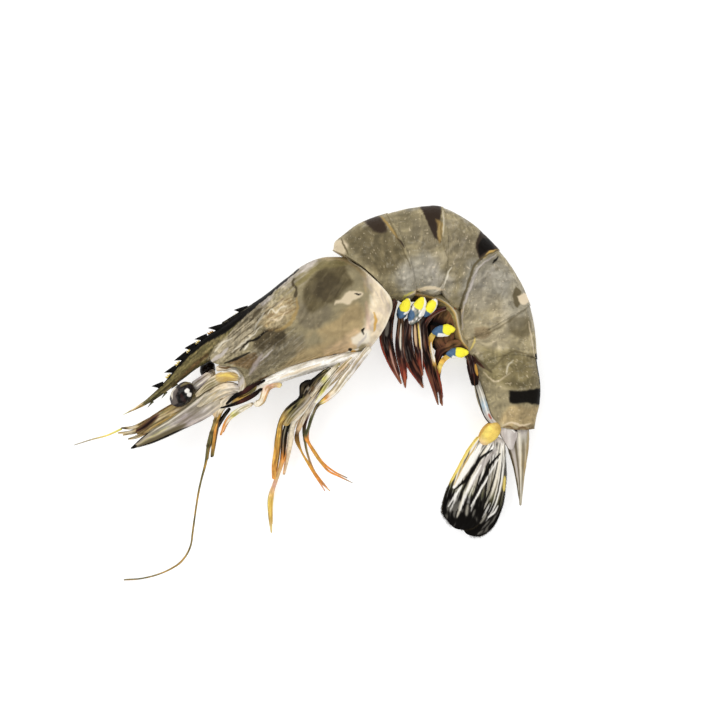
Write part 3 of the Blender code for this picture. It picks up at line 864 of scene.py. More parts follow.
CARAPACE_BRUSHES = (
    Brush(Tone.SAND, Tone.SEPIA, 0.55, (5.0, 0.4), 41, (
        (-30, 9.9), (-25.5, 17.1), (-20.1, 21.9), (-13.5, 27.3), (-8.7, 28.5), (-12.9, 21.9), (-24.6, 9.9),
    )),
    Brush(Tone.LILAC, Tone.DRAB, 0.35, (5.0, 0.5), 37, (
        (-17.1, 25.8), (-0.9, 38.7), (4.5, 39.9), (-2.1, 32.7), (-12.6, 25.5),
    )),
    Brush(Tone.MIST, Tone.UMBER, 0.3, (4.0, 0.4), 40, (
        (-24.3, 9.3), (-15.6, 15), (-2.1, 19.5), (-0.3, 13.5), (-11.1, 5.4), (-17.7, 2.1),
    )),
    Brush(Tone.CREAM, Tone.DRAB, 0.35, (6.0, 0.3), 22, (
        (-14.7, 3.3), (-6.9, 8.7), (11.7, 13.8), (-2.1, 7.8), (-11.7, 3.3),
    )),
    Brush(Tone.SHELL, Tone.SEPIA, 0.2, (4.0, 1.0), 55, (
        (-1.2, 27.9), (0.3, 34.5), (6.9, 39.3), (13.5, 37.5), (12.9, 31.5), (6.3, 27.3), (3.9, 20.7), (-2.1, 20.7),
    )),
    Brush(Tone.SAND, Tone.BROWN, 0.4, (2.4, 0.5), 25, (
        (-14.1, 21.3), (-12.9, 26.1), (-3, 28.5), (-3.3, 23.1), (-11.7, 19.2),
    )),
    Brush(Tone.TAN, Tone.SHELL, 0.25, (6.0, 2.0), 35, (
        (-3.3, 15), (6.9, 24), (16.5, 27.3), (16.5, 18.9), (6.9, 12.9), (-3.3, 10.5),
    )),
    Brush(Tone.BONE, Tone.MAUVE, 0.35, (5.0, 1.2), -60, (
        (15.9, 38.1), (25.8, 27.9), (23.7, 18.3), (18.9, 12.9), (16.5, 16.5), (18.6, 28.5),
    )),
)

CARAPACE_MARKS = (
    Streak(Tone.BONE, 0.6, 0.3, ((-11.7, 24.3), (-10.5, 25.8), (-9.6, 24.6), (-8.1, 26.1), (-6, 26.7))),
    Streak(Tone.CREAM, 0.6, 0.3, ((-12.3, 21.9), (-10.5, 22.8), (-8.4, 22.5), (-6.9, 24.3), (-5.4, 25.2))),
    Streak(Tone.OCHRE, 0.6, 0.7, ((-3, 29.1), (-3, 25.8), (-6.6, 20.4), (-9.6, 19.2)), 0.56),
    Streak(Tone.SEPIA, 0.85, 0.4, ((-3.9, 34.8, 0.24), (-4.2, 33.6, 0.45), (-3.3, 32.1, 0.3), (-3.6, 29.7, 0.48))),
    Streak(Tone.BLACK, 0.85, 0.3, ((-20.1, 13.5), (-17.1, 16.2), (-15.6, 16.5), (-13.5, 18.3), (-11.7, 19.2)), 0.36),
    # Painted highlight: a small white glint beside the black spots.
    Streak(Tone.BONE, 0.85, 0.5, ((-18.9, 13.5), (-18, 14.4), (-17.4, 15.3)), 0.36),
    Streak(Tone.BONE, 0.6, 0.3, ((-22.5, 12.9), (-17.1, 17.4), (-13.5, 20.7))),
    Streak(Tone.BONE, 0.6, 0.3, ((-27.9, 12.9), (-25.5, 15.6), (-22.5, 17.1)), 0.3),
    Streak(Tone.LILAC, 0.85, 0.4, ((-29.1, 9.9), (-25.5, 12.3), (-23.7, 14.1)), 0.58),
    Streak(Tone.SEPIA, 0.8, 0.3, ((-17.1, 21.9), (-15.3, 24.6), (-13.5, 26.1)), 0.37),
    Streak(Tone.MIST, 0.7, 0.3, ((-15.9, 19.5), (-14.7, 21.9), (-12.9, 24.9)), 0.29),
    Streak(Tone.LILAC, 0.8, 0.3, ((-14.1, 10.2), (-12.3, 11.7), (-10.2, 13.5)), 0.29),
    Streak(Tone.MAUVE, 0.7, 0.8, ((-17.1, 6.3), (-15.3, 9.3), (-13.5, 12.3)), 0.64),
    Streak(Tone.BLACK, 0.8, 0.35, ((-24.9, 9.6), (-20.1, 11.4), (-17.1, 12.9)), 0.4),
    Patch(Tone.CREAM, 0.75, 0.7, (
        (8.1, 27), (8.4, 28.2), (10.2, 28.8), (11.4, 30.6), (16.8, 30.3), (15.9, 29.1), (14.1, 28.5), (12.9, 27.3),
        (9.6, 27.6),
    )),
    Streak(Tone.BLACK, 0.85, 0.25, ((14.1, 30.3), (15.3, 30.3), (16.2, 30.3)), 0.29),
    Streak(Tone.PINK, 0.3, 1.0, ((17.7, 27.9), (18, 19.5), (16.5, 17.4)), 0.66),
    Patch(Tone.BONE, 0.8, 1.2, ((13.5, 17.1), (18.3, 19.5), (18.9, 16.5), (13.5, 15.6))),
    Streak(Tone.LILAC, 0.7, 0.5, ((15, 14.4), (16.8, 16.5), (18, 18.3)), 0.4),
    Streak(Tone.WHITE, 0.85, 0.4, ((-2.1, 8.1), (9.3, 11.4), (15.3, 13.8)), 0.59),
    Streak(Tone.MOSS, 0.85, 0.3, ((-17.1, 1.2), (-13.5, 4.2), (-9.9, 5.7), (3.9, 10.5)), 0.36),
    Streak(Tone.BROWN, 0.8, 0.4, ((-16.5, 2.7), (-13.5, 4.5), (-10.5, 5.7)), 0.55),
    Streak(Tone.CREAM, 0.7, 0.3, ((-7.5, 6.6), (-4.5, 8.1), (-1.5, 9.3)), 0.3),
    Streak(Tone.BLACK, 0.9, 0.25, ((17.1, 20.1), (16.6, 19.2), (16.8, 18.3)), 0.34),
    Streak(Tone.BLACK, 0.9, 0.25, ((7.8, 11.7), (9, 11.7)), 0.56),
    Streak(Tone.BLACK, 0.8, 0.25, ((12.6, 13.5), (13.2, 13.5)), 0.52),
    Streak(Tone.AMBER, 0.8, 0.3, ((20.1, 24.9), (20.6, 22.5), (20.1, 19.2)), 0.39),
    Streak(Tone.AMBER, 0.9, 0.3, ((13.5, 12), (14.1, 12.9)), 0.86),
    DORSAL_BLACK,
)


@dataclass
class Rostrum:
    """The toothed blade over the eyes, with the low black crest that runs back along the shield."""

    upper: tuple = (
        (-55.8, -6.3), (-48, -1.1), (-41.7, 5.2), (-36.9, 11.4), (-30.3, 17.6), (-26.1, 20.2), (-17.7, 26.1),
        (-13.5, 28.6), (-8.1, 32.7),
    )
    lower: tuple = (
        (-55.8, -6.3), (-47.7, -2.7), (-37.5, 4.5), (-32.7, 8.1), (-27.9, 10.8), (-13.5, 21.9), (-8.1, 28.5),
    )
    widths: tuple = ((0.0, 0.25), (0.15, 0.8), (0.4, 1.6), (0.6, 3.0), (0.8, 3.4), (1.0, 1.2))
    upper_teeth: tuple = (
        (-46.2, 2.1), (-42.3, 6.3), (-39.3, 9.9), (-36.3, 13.5), (-33.3, 16.2), (-29.4, 19.5), (-21.6, 24.9),
    )
    lower_teeth: tuple = ((-48.0, -3.6), (-43.8, -0.9), (-40.8, 1.8))
    tooth_roots: tuple = (17, 20, 23, 17, 20, 23, 21)
    tooth_half_widths: tuple = (1.25, 1.37, 1.49, 1.61, 1.25, 1.37, 1.49)
    stations: int = 420
    sides: int = 64
    edge_points: int = 400

    def blade(self) -> tuple[Array, Paint]:
        """The blade's rings, lens-shaped with a side ridge, and their paint."""
        shares = np.linspace(0.004, 1, self.stations) ** 0.9
        upper = along(self.upper, shares)
        lower = along(self.lower, shares)
        half = graded(self.widths, shares)
        body = Rungs(upper, lower, half, np.full(len(shares), MID_HEIGHT), squareness=1.1)
        rings = body.rings(np.zeros((len(shares), self.sides)))
        _, across = body.around(self.sides)
        ridge = np.exp(-(((across - 0.55) / 0.09) ** 2)) - 0.5 * np.exp(-(((across - 0.72) / 0.08) ** 2))
        side = np.sign(rings[:, :, 2] - MID_HEIGHT)
        rings[:, :, 2] += side * 0.32 * ridge[None, :] * np.minimum(half, 1.2)[:, None]
        paint = Paint(rings.reshape(-1, 3), Tone.OLIVE, 21, warp=0.2)
        paint.mottle(1.5, 0.18)
        paint.marks(ROSTRUM_MARKS)
        paint.brush(*ROSTRUM_BRUSHES, CARAPACE_BRUSHES[0])
        paint.marks((DORSAL_BLACK,))
        dark = smooth_rise((shares - 0.1) / 0.15)[:, None] * smooth_rise((0.16 - across) / 0.06)
        paint.coat(Tone.BLACK, 0.95 * dark.ravel())
        # Folds with painted light and shade, as if lit from the upper left.
        paint.crinkle_with_painted_shade(1.2, 0.2, 0.02)
        return rings, paint

    def thorn(self, root: Array, tip: Array, thick: float) -> Array:
        """One tooth: a cone whose middle line bends from its root along the edge out to its tip."""
        share = np.linspace(0, 1, 14)
        bend = (tip - root) * 0.5 + np.array([0.1, 0.15])
        line = root + (1 - (1 - share)[:, None] ** 2) * bend + share[:, None] ** 2 * (tip - root - bend)
        way = np.gradient(line, axis=0)
        aside = np.stack([-way[:, 1], way[:, 0]], axis=1) / np.linalg.norm(way, axis=1)[:, None]
        angle = 2 * math.pi * np.arange(12) / 12
        size = thick * (1 - share) + 0.03
        flat = line[:, None] + aside[:, None] * (size[:, None] * np.cos(angle))[:, :, None]
        up = MID_HEIGHT + 0.7 * size[:, None] * np.sin(angle)
        return np.concatenate([flat, up[:, :, None]], axis=2)

    def teeth(self, skin: Skin) -> None:
        """Adds the black upper teeth, the small lower ones and the yellow tufts in front of the upper ones."""
        shares = np.linspace(0, 1, self.edge_points)
        edge = along(self.upper, shares)
        for number, (tip, back, thick) in enumerate(zip(self.upper_teeth, self.tooth_roots, self.tooth_half_widths)):
            near = int(np.argmin(np.linalg.norm(edge - tip, axis=1)))
            outwards = (tip - edge[near]) / max(np.linalg.norm(tip - edge[near]), 0.01)
            thorn = self.thorn(edge[near + back] - 0.5 * outwards, tip + 0.7 * outwards, thick)
            skin.wrap(thorn, Paint(thorn.reshape(-1, 3), Tone.BLACK, 22))
            if number:
                order = np.arange(11)
                roots = np.column_stack([edge[near - 5:near + 6], MID_HEIGHT + 0.5 * np.sin(2.1 * order)])
                lengths = 0.6 + 0.35 * np.sin(1.3 * order)
                ends = roots + (-0.25, -0.15, 0) + lengths[:, None] * np.append(outwards, 0)
                skin.hairs(roots, ends, 0.22, Tone.AMBER if number == 5 else Tone.YELLOW)
        lower = along(self.lower, shares)
        for tip in self.lower_teeth:
            near = int(np.argmin(np.linalg.norm(lower - tip, axis=1)))
            thorn = self.thorn(lower[near + 16], tip - (lower[near] - tip) * 0.4, 0.4)
            skin.wrap(thorn, Paint(thorn.reshape(-1, 3), Tone.MOSS, 23))

    def build(self) -> list[bpy.types.Object]:
        """Makes the blade with its teeth."""
        skin = Skin("rostrum")
        skin.wrap(*self.blade())
        self.teeth(skin)
        return [skin.build(SHELL_FINISH, "shell")]


ROSTRUM_MARKS = (
    Streak(Tone.DRAB, 0.8, 0.5, ((-47.1, -2.1, 0.3), (-42.6, 1.2, 0.54), (-33.6, 10.2, 0.78), (-24.6, 16.5, 0.6))),
    Streak(Tone.BROWN, 0.8, 0.5, ((-40.5, 2.1, 0.3), (-33.3, 9.3, 0.48), (-30, 12, 0.48))),
    Streak(Tone.MOSS, 0.85, 0.4, ((-44.1, -0.9), (-40.5, 1.5), (-37.2, 4.8), (-30, 9.9)), 0.36),
    Patch(Tone.SAND, 0.8, 0.8, (
        (-30.3, 10.5), (-27.3, 14.7), (-17.7, 21.9), (-13.5, 26.7), (-11.1, 28.5), (-13.5, 22.5), (-20.1, 15),
        (-26.1, 9.9),
    )),
    Patch(Tone.MOSS, 0.85, 0.6, ((-49.5, -2.7), (-44.1, 0.9), (-42.9, -0.3), (-45.9, -2.7), (-48.6, -3.9))),
    Patch(Tone.OCHRE, 0.9, 0.6, ((-55.8, -6.3), (-50.1, -2.4), (-48.3, -3.3), (-50.7, -4.8))),
    Streak(Tone.CREAM, 0.8, 0.3, ((-53.1, -4.8), (-51.3, -3.6), (-49.2, -2.4)), 0.3),
    Streak(Tone.CITRON, 0.9, 0.4, ((-56.4, -6.6), (-54.9, -5.7), (-53.4, -4.8)), 0.37),
    Streak(Tone.BLACK, 0.8, 0.3, ((-50.1, -4.2), (-47.7, -3), (-45.3, -0.9)), 0.36),
)

ROSTRUM_BRUSHES = (Brush(Tone.TAN, Tone.SEPIA, 0.45, (5.0, 0.35), 42, (
    (-56.1, -6.9), (-47.1, -0.3), (-30.3, 17.7), (-24.3, 19.5), (-26.1, 11.1), (-38.1, 3.3), (-48.3, -4.5),
)),)


@dataclass
class Abdomen:
    """The six rings of the tail. Each starts tucked inside the ring before it and ends in a flared, rounded rim."""

    dorsal: tuple = (
        (7.2, 45.6), (15.3, 51.6), (23.4, 54.6), (31.8, 56.4), (40.2, 56.7), (49.5, 51.9), (57.6, 44.1), (63.3, 36.3),
        (67.2, 27.6), (69.0, 19.2), (69.6, 11.4), (70.8, 0.3), (69.0, -9.6),
    )
    ventral: tuple = ((26.4, 28.0), (32.7, 31.0), (39.9, 30.6), (45.9, 25.8), (47.7, 16.2), (50.4, 8.7), (54.9, -8.1))
    bows: tuple = (1.8, 1.2, 1.5, -2.4, 0.0, -2.6, 0.8)
    narrowing: tuple = (0.0, 0.02, 0.1, 0.28, 0.5, 0.76, 1.0)
    front_half_width: float = 11.2
    rear_half_width: float = 5.2
    resting_sink: float = 0.4
    pleuron_lobe: float = 2.0
    first_dip: float = 1.8
    tuck: float = 0.08
    overhang: float = 0.03
    tuck_sizes: tuple = (0.6, 0.95)
    rim_drops: tuple = (0.002, 0.01, 0.02, 0.045, 0.12)
    rim_pushes: tuple = (0.15, 0.2, 0.1, -0.5, -1.2)
    stations: int = 115
    sides: int = 240

    def rings(self, number: int) -> tuple[Array, Array]:
        """One ring of the tail, and how far along itself each station is.

        Args:
            number: Which ring, from 0 at the head.

        Returns:
            Rings, and shares of the ring's length: negative where it is tucked in, above 1 in its turned rim.
        """
        first, last = -self.tuck, 1 + self.overhang
        share = np.pad(
            np.linspace(first, last, self.stations), (len(self.tuck_sizes), len(self.rim_drops)), mode="edge",
        )
        places = number + share
        dorsal = spline(np.arange(13) / 2, self.dorsal, places)
        ventral = spline(np.arange(7), self.ventral, places)
        narrow = spline(np.arange(7), self.narrowing, places)
        half = self.front_half_width + (self.rear_half_width - self.front_half_width) * narrow
        bow = spline(np.arange(7), self.bows, places)
        belly = (ventral - dorsal) / np.linalg.norm(ventral - dorsal, axis=1)[:, None]
        lobe = np.sin(math.pi * np.clip(share * 0.96 + 0.02, 0, 1) ** 1.4) ** 0.6
        ventral = ventral + belly * (self.pleuron_lobe * lobe)[:, None]
        if number == 0:
            dorsal = dorsal + belly * self.first_dip * smooth_rise((0.12 - share) / 0.2)[:, None] ** 2
        body = Rungs(dorsal, ventral, half, half - self.resting_sink)
        angle, _ = body.around(self.sides)
        rings = body.rings(bow[:, None] * np.sin(angle) ** 2)
        sizes = 0.978 + 0.014 * smooth_rise((share + 0.08) / 0.6) + 0.009 * smooth_rise((share - 0.75) / 0.25)
        sizes[:len(self.tuck_sizes)] = self.tuck_sizes
        sizes[-len(self.rim_drops):] -= self.rim_drops
        turned_rim(rings, body, self.rim_pushes)
        return scaled(rings, sizes), share

    def paint(self, number: int, rings: Array, share: Array) -> Paint:
        """Grey-brown crumpled mottling with the dark bands, creases and light threads of the ring; the creases carry
        painted shade as if lit from the upper left, and every ring after the first has painted shade across its front,
        under the rim of the ring before.
        """
        place = rings.reshape(-1, 3)
        paint = Paint(place, Tone.SHELL, 31)
        paint.marks(ABDOMEN_WASHES, drift=1.2)
        paint.mottle(6.0, 0.15, 2)
        paint.brush(*ABDOMEN_BRUSHES)
        paint.veins(Tone.MIST, 2.2, 0.05, 0.4)
        paint.veins(Tone.UMBER, 3.0, 0.04, 0.35)
        # Three sizes of folds: raised relief, with painted light and shade as if lit from the upper left.
        paint.crinkle_with_painted_shade(8.0, 0.06, 0.06)
        paint.crinkle_with_painted_shade(3.6, 0.12, 0.06)
        paint.crinkle_with_painted_shade(1.6, 0.05, 0.02)
        # Small cream flecks: partly the shell's own pale specks, partly painted highlights on the crumpled shell.
        paint.flecks(Tone.CREAM, 0.5, 0.7, 0.55)
        paint.flecks(Tone.UMBER, 0.7, 0.75, 0.4)
        paint.marks(ABDOMEN_MARKS)
        # Painted shade: the front of each ring after the first is darkened where it lies under the rim of the ring
        # before.
        if number:
            paint.coat(Tone.UMBER, 0.3 * np.repeat(smooth_rise((0.03 - share) / 0.04), self.sides))
        return paint

    def build(self) -> list[bpy.types.Object]:
        """Makes the six rings."""
        made = []
        for number in range(6):
            rings, share = self.rings(number)
            skin = Skin(f"tail_ring_{number + 1}")
            skin.wrap(rings, self.paint(number, rings, share))
            made.append(skin.build(SHELL_FINISH, "shell", f"abdomen_{number + 1}"))
        return made


ABDOMEN_WASHES = (
    Patch(Tone.SLATE, 0.7, 4.0, ((27, 39.9), (36.9, 42.9), (39.3, 31.5), (31.5, 28.5), (26.4, 33))),
    Patch(Tone.MIST, 0.6, 2.5, ((28.5, 36.9), (39.9, 38.7), (44.1, 33.9), (42.9, 29.1), (35.4, 30.9), (29.4, 30.3))),
    Patch(Tone.UMBER, 0.65, 3.0, ((11.4, 46.5), (15.9, 50.7), (24.3, 50.1), (28.5, 39.9), (23.4, 36))),
    Patch(Tone.STONE, 0.5, 3.0, ((42.9, 51), (51.9, 46.5), (51.3, 39.9), (44.4, 37.5), (41.4, 43.5))),
    Patch(Tone.STONE, 0.5, 2.5, ((31.5, 52.5), (36.9, 51.9), (39.3, 44.7), (35.1, 42.3), (31.5, 46.5))),
    Patch(Tone.SLATE, 0.7, 3.0, ((48.9, 39.9), (57.9, 42), (61.5, 36), (50.4, 25.5), (46.5, 28.5))),
    Patch(Tone.MIST, 0.6, 2.5, ((55.5, 37.5), (62.4, 36), (63.9, 19.5), (59.4, 21), (57.9, 30))),
    Patch(Tone.SAND, 0.5, 3.0, ((44.7, 28.5), (51.9, 31.5), (58.5, 28.5), (59.7, 15), (54.3, 10.5), (46.5, 16.5))),
    Patch(Tone.DRAB, 0.55, 2.5, ((51.9, 15), (66.9, 9.9), (67.5, 3), (54.9, 4.5))),
    Patch(Tone.UMBER, 0.35, 2.5, ((59.4, 12), (68.1, 11.7), (70.2, 2.1), (61.5, 2.1), (57.9, 6.9))),
    Patch(Tone.SHELL, 0.8, 2.5, ((54.3, 3), (60, 2.1), (60.3, -3), (65.4, -4.5), (63.9, -9), (57.9, -8.7))),
    Patch(Tone.TAN, 0.8, 1.8, ((57.9, -8.7), (59.7, -4.5), (64.5, -3.6), (69.9, -3.3), (69, -9), (63.9, -10.5))),
    # Painted light: paler bands along the back's outline, where light shows through the thin translucent edge.
    Streak(Tone.MIST, 0.65, 1.0, ((41.7, 56.1), (54.3, 48.9), (63.9, 36.9), (68.4, 19.5)), 1.16),
    Streak(Tone.MIST, 0.6, 1.0, ((16.5, 50.7), (23.4, 54.9), (33.9, 56.7)), 0.64),
)

ABDOMEN_BRUSHES = (
    Brush(Tone.SAND, Tone.UMBER, 0.1, (4.0, 1.8), -60, (
        (8.4, 47.7), (21.9, 56.1), (39.9, 57.3), (40.5, 43.5), (38.7, 30.9), (27.3, 28.5), (15.9, 38.1),
    )),
    Brush(Tone.LILAC, Tone.STONE, 0.16, (4.0, 1.8), 60, (
        (39.9, 57.3), (57.9, 47.7), (57.9, 40.5), (48.3, 28.5), (39.9, 28.5), (36.3, 43.5),
    )),
    Brush(Tone.SAND, Tone.UMBER, 0.1, (4.0, 1.8), -15, (
        (57.9, 43.5), (67.2, 28.5), (69.9, 10.5), (71.4, -9), (57.9, -9), (51.9, 4.5), (45.3, 19.5), (48.9, 34.5),
    )),
)

ABDOMEN_MARKS = (
    Patch(Tone.CREAM, 0.7, 1.0, ((5.7, 41.7), (6.9, 44.7), (9.9, 46.8), (12, 45.9), (9.3, 40.8))),
    Streak(Tone.UMBER, 0.8, 0.4, ((10.2, 47.1), (11.1, 44.7), (12.3, 42)), 0.36),
    Patch(Tone.BAND, 0.94, 1.2, ((17.1, 51.9), (18.9, 53.7), (21.6, 53.7), (23.7, 49.2), (21.9, 48.6))),
    Streak(Tone.OCHRE, 0.9, 0.5, ((22.2, 53.7), (24, 51.6), (28.2, 45.6)), 0.38),
    Streak(Tone.BAND, 0.9, 0.4, ((27, 47.1), (28.2, 45.9), (29.1, 44.4)), 0.33),
    Patch(Tone.BAND, 1.0, 0.6, (
        (33.9, 56.7), (40.2, 56.7), (39.9, 52.5), (39, 48.9), (40.2, 45.9), (38.1, 47.7), (36, 52.5),
    )),
    Patch(Tone.OCHRE, 0.75, 0.8, ((38.7, 52.8), (40.5, 51.9), (40.5, 47.7), (39.9, 45.9))),
    Streak(Tone.BONE, 0.5, 0.4, ((40.8, 55.5), (41.1, 51.9), (40.8, 47.7))),
    Patch(Tone.BAND, 1.0, 0.6, ((52.5, 50.1), (58.8, 46.2), (57.3, 43.2), (54.6, 43.2), (52.2, 40.5), (50.7, 44.4))),
    Patch(Tone.BLACK, 0.8, 0.5, ((52.8, 47.4), (55.2, 46.5), (56.1, 44.1), (53.7, 43.2), (52.2, 41.7), (51.3, 44.4))),
    Streak(Tone.GOLD, 0.95, 0.3, ((53.1, 41.1), (54.9, 42.9), (57.3, 43.8)), 0.41),
    Streak(Tone.BLACK, 0.95, 0.3, ((55.8, 39.6), (56.7, 40.5), (57.6, 41.4)), 0.3),
    Patch(Tone.UMBER, 0.85, 0.6, ((62.7, 32.7), (63.9, 31.8), (63, 26.1), (61.8, 29.1))),
    Patch(Tone.CREAM, 0.9, 0.6, ((63.3, 29.7), (65.7, 30.6), (67.2, 29.1), (66, 27.3), (63.9, 27.6))),
    Patch(Tone.UMBER, 0.55, 1.4, ((60.3, 23.1), (66.3, 23.1), (67.8, 20.7), (66.6, 17.7), (61.5, 18.3))),
    Patch(Tone.BROWN, 0.35, 1.0, ((50.1, 20.1), (53.7, 20.4), (55.2, 18.6), (53.1, 16.8), (50.4, 17.4))),
    Patch(Tone.BLACK, 0.93, 0.8, ((60.6, 1.2), (65.1, 1.2), (72.9, 1.2), (72.9, -2.4), (65.4, -2.4), (61.2, -2.4))),
    Streak(Tone.BLACK, 0.9, 0.3, ((69.3, 12, 0.45), (70.5, 7.5, 0.6), (71.4, -4.5, 0.6), (70.8, -9, 0.48))),
    Streak(Tone.BONE, 0.7, 0.4, ((43.2, 38.4), (39.9, 31.8), (38.1, 30.9)), 0.3),
    Streak(Tone.CREAM, 0.6, 0.5, ((53.1, 6.9), (56.7, 3.9), (60.9, 6.6))),
    Streak(Tone.BONE, 0.6, 0.4, ((59.7, 6.3), (60.3, 8.7), (61.8, 10.5))),
    Streak(Tone.UMBER, 0.9, 0.4, ((50.1, 12), (51.9, 9.9), (55.5, 6.9)), 0.59),
    Streak(Tone.MAROON, 0.8, 0.4, ((50.1, 11.4), (51.9, 9.3), (53.1, 8.1)), 0.39),
    Streak(Tone.UMBER, 0.55, 0.4, ((23.7, 54.6), (26.1, 49.5), (30.9, 38.7)), 0.29),
    Streak(Tone.UMBER, 0.5, 0.5, ((40.2, 56.4), (40.5, 47.1), (42.3, 41.1))),
    Streak(Tone.UMBER, 0.85, 0.4, ((57.3, 43.8), (50.1, 38.7), (48.9, 34.8), (45.9, 26.1), (45.6, 22.5)), 0.37),
    Streak(Tone.LILAC, 0.8, 0.4, ((57, 42.3), (51, 37.5), (49.5, 33.3), (46.5, 24.9), (46.5, 19.5)), 0.36),
    Streak(Tone.UMBER, 0.5, 0.6, ((67.2, 27), (56.4, 19.5), (48.9, 16.5)), 0.29),
    Streak(Tone.UMBER, 0.6, 0.5, ((69.3, 11.1), (61.5, 12.9), (54.9, 7.2)), 0.31),
    Streak(Tone.CREAM, 0.6, 0.3, ((66.6, 21.9), (67.8, 15.9), (68.7, 11.7)), 0.3),
    Streak(Tone.CREAM, 0.9, 0.4, ((29.7, 29.7), (38.1, 32.1), (40.5, 31.5)), 0.6),
    Streak(Tone.CITRON, 0.8, 0.3, ((28.5, 28.5), (30.3, 30), (32.1, 30.9)), 0.35),
    Streak(Tone.GOLD, 0.7, 0.5, ((46.2, 25.5), (45.3, 21.9), (46.2, 17.7), (48, 15.3)), 0.39),
    Streak(Tone.CREAM, 0.7, 0.3, ((47.1, 26.7), (45.6, 23.1), (46.2, 18.9))),
    Streak(Tone.YELLOW, 0.6, 0.3, ((48.9, 13.5), (49.8, 15.3), (50.4, 17.1)), 0.32),
    Streak(Tone.CREAM, 0.7, 0.4, ((59.1, -9.3), (61.5, -8.4), (64.5, -9.3), (67.8, -8.7)), 0.38),
    Streak(Tone.BROWN, 0.8, 0.4, (
        (58.8, -10.2), (60.9, -9.6), (62.7, -10.8), (65.1, -9.9), (67.2, -10.8), (68.7, -9.9),
    ), 0.39),
)


@dataclass
class Thorax:
    """The soft whitish underside that shows as a band below the shield's cheek edge."""

    upper: tuple = ((-18.3, -0.2), (-13.5, 2.6), (-5.1, 6.5), (0.9, 8.3), (8.4, 10.1), (17.6, 11.5))
    lower: tuple = ((-20.4, -2.4), (-15.9, -0.2), (-5.7, 4.4), (0.6, 6.4), (7.5, 8.2), (17.7, 10.4))
    widths: tuple = ((0.0, 3.0), (0.3, 5.5), (0.7, 6.5), (1.0, 5.5))
    stations: int = 160
    sides: int = 120

    def build(self) -> list[bpy.types.Object]:
        """Makes the band, folded lengthwise in fine pale, grey and golden lines."""
        shares = np.linspace(0, 1, self.stations)
        upper = along(self.upper, shares) + (0.0, 2.4)
        half = graded(self.widths, shares)
        body = Rungs(upper, along(self.lower, shares), half, np.full(self.stations, MID_HEIGHT), squareness=0.5)
        rings = body.rings(np.zeros((self.stations, self.sides)))
        rings = scaled(rings, 1 - 0.5 * (2 * shares - 1) ** 16)
        paint = Paint(rings.reshape(-1, 3), Tone.WHITE, 51)
        paint.mottle(2.0, 0.06)
        paint.brush(Brush(Tone.WHITE, Tone.SAND, 0.5, (6.0, 0.5), 20, lift=0.08))
        # Folds with painted light and shade, as if lit from the upper left.
        paint.crinkle_with_painted_shade(2.0, 0.06, 0.04)
        paint.marks(THORAX_MARKS)
        skin = Skin("soft_underside")
        skin.wrap(rings, paint)
        return [skin.build(SOFT_FINISH, "soft_underside", "thorax")]


THORAX_MARKS = (Streak(Tone.CREAM, 0.8, 0.5, ((-8.1, 5.1), (-2.1, 7.2), (3.9, 9)), 0.5),)


@dataclass(frozen=True)
class Stripe:
    """A line along a limb, between two shares of its length.

    It goes from one share of the breadth, -1 to 1, to another, or stays at one.
    """

    tone: Tone
    across: tuple[float, float] | float
    half: float
    span: tuple[float, float]
    strength: float = 0.9
    soft: float = 0.2
    lift: float = 0.0


@dataclass(frozen=True)
class Fringe:
    """Bristles along one edge of a limb, leaning towards its tip."""

    side: int
    span: tuple[float, float]
    length: float
    count: int
    tone: Tone
    lean: float = 0.8
    thickness: float = 0.07


# How finely a limb is drawn: its stations grow with its length, and the sides of its rings with its breadth.
STATION_GAP, LEAST_STATIONS, MOST_STATIONS = 0.18, 36, 230
SIDES_PER_MM, LEAST_SIDES, MOST_SIDES = 21, 14, 132


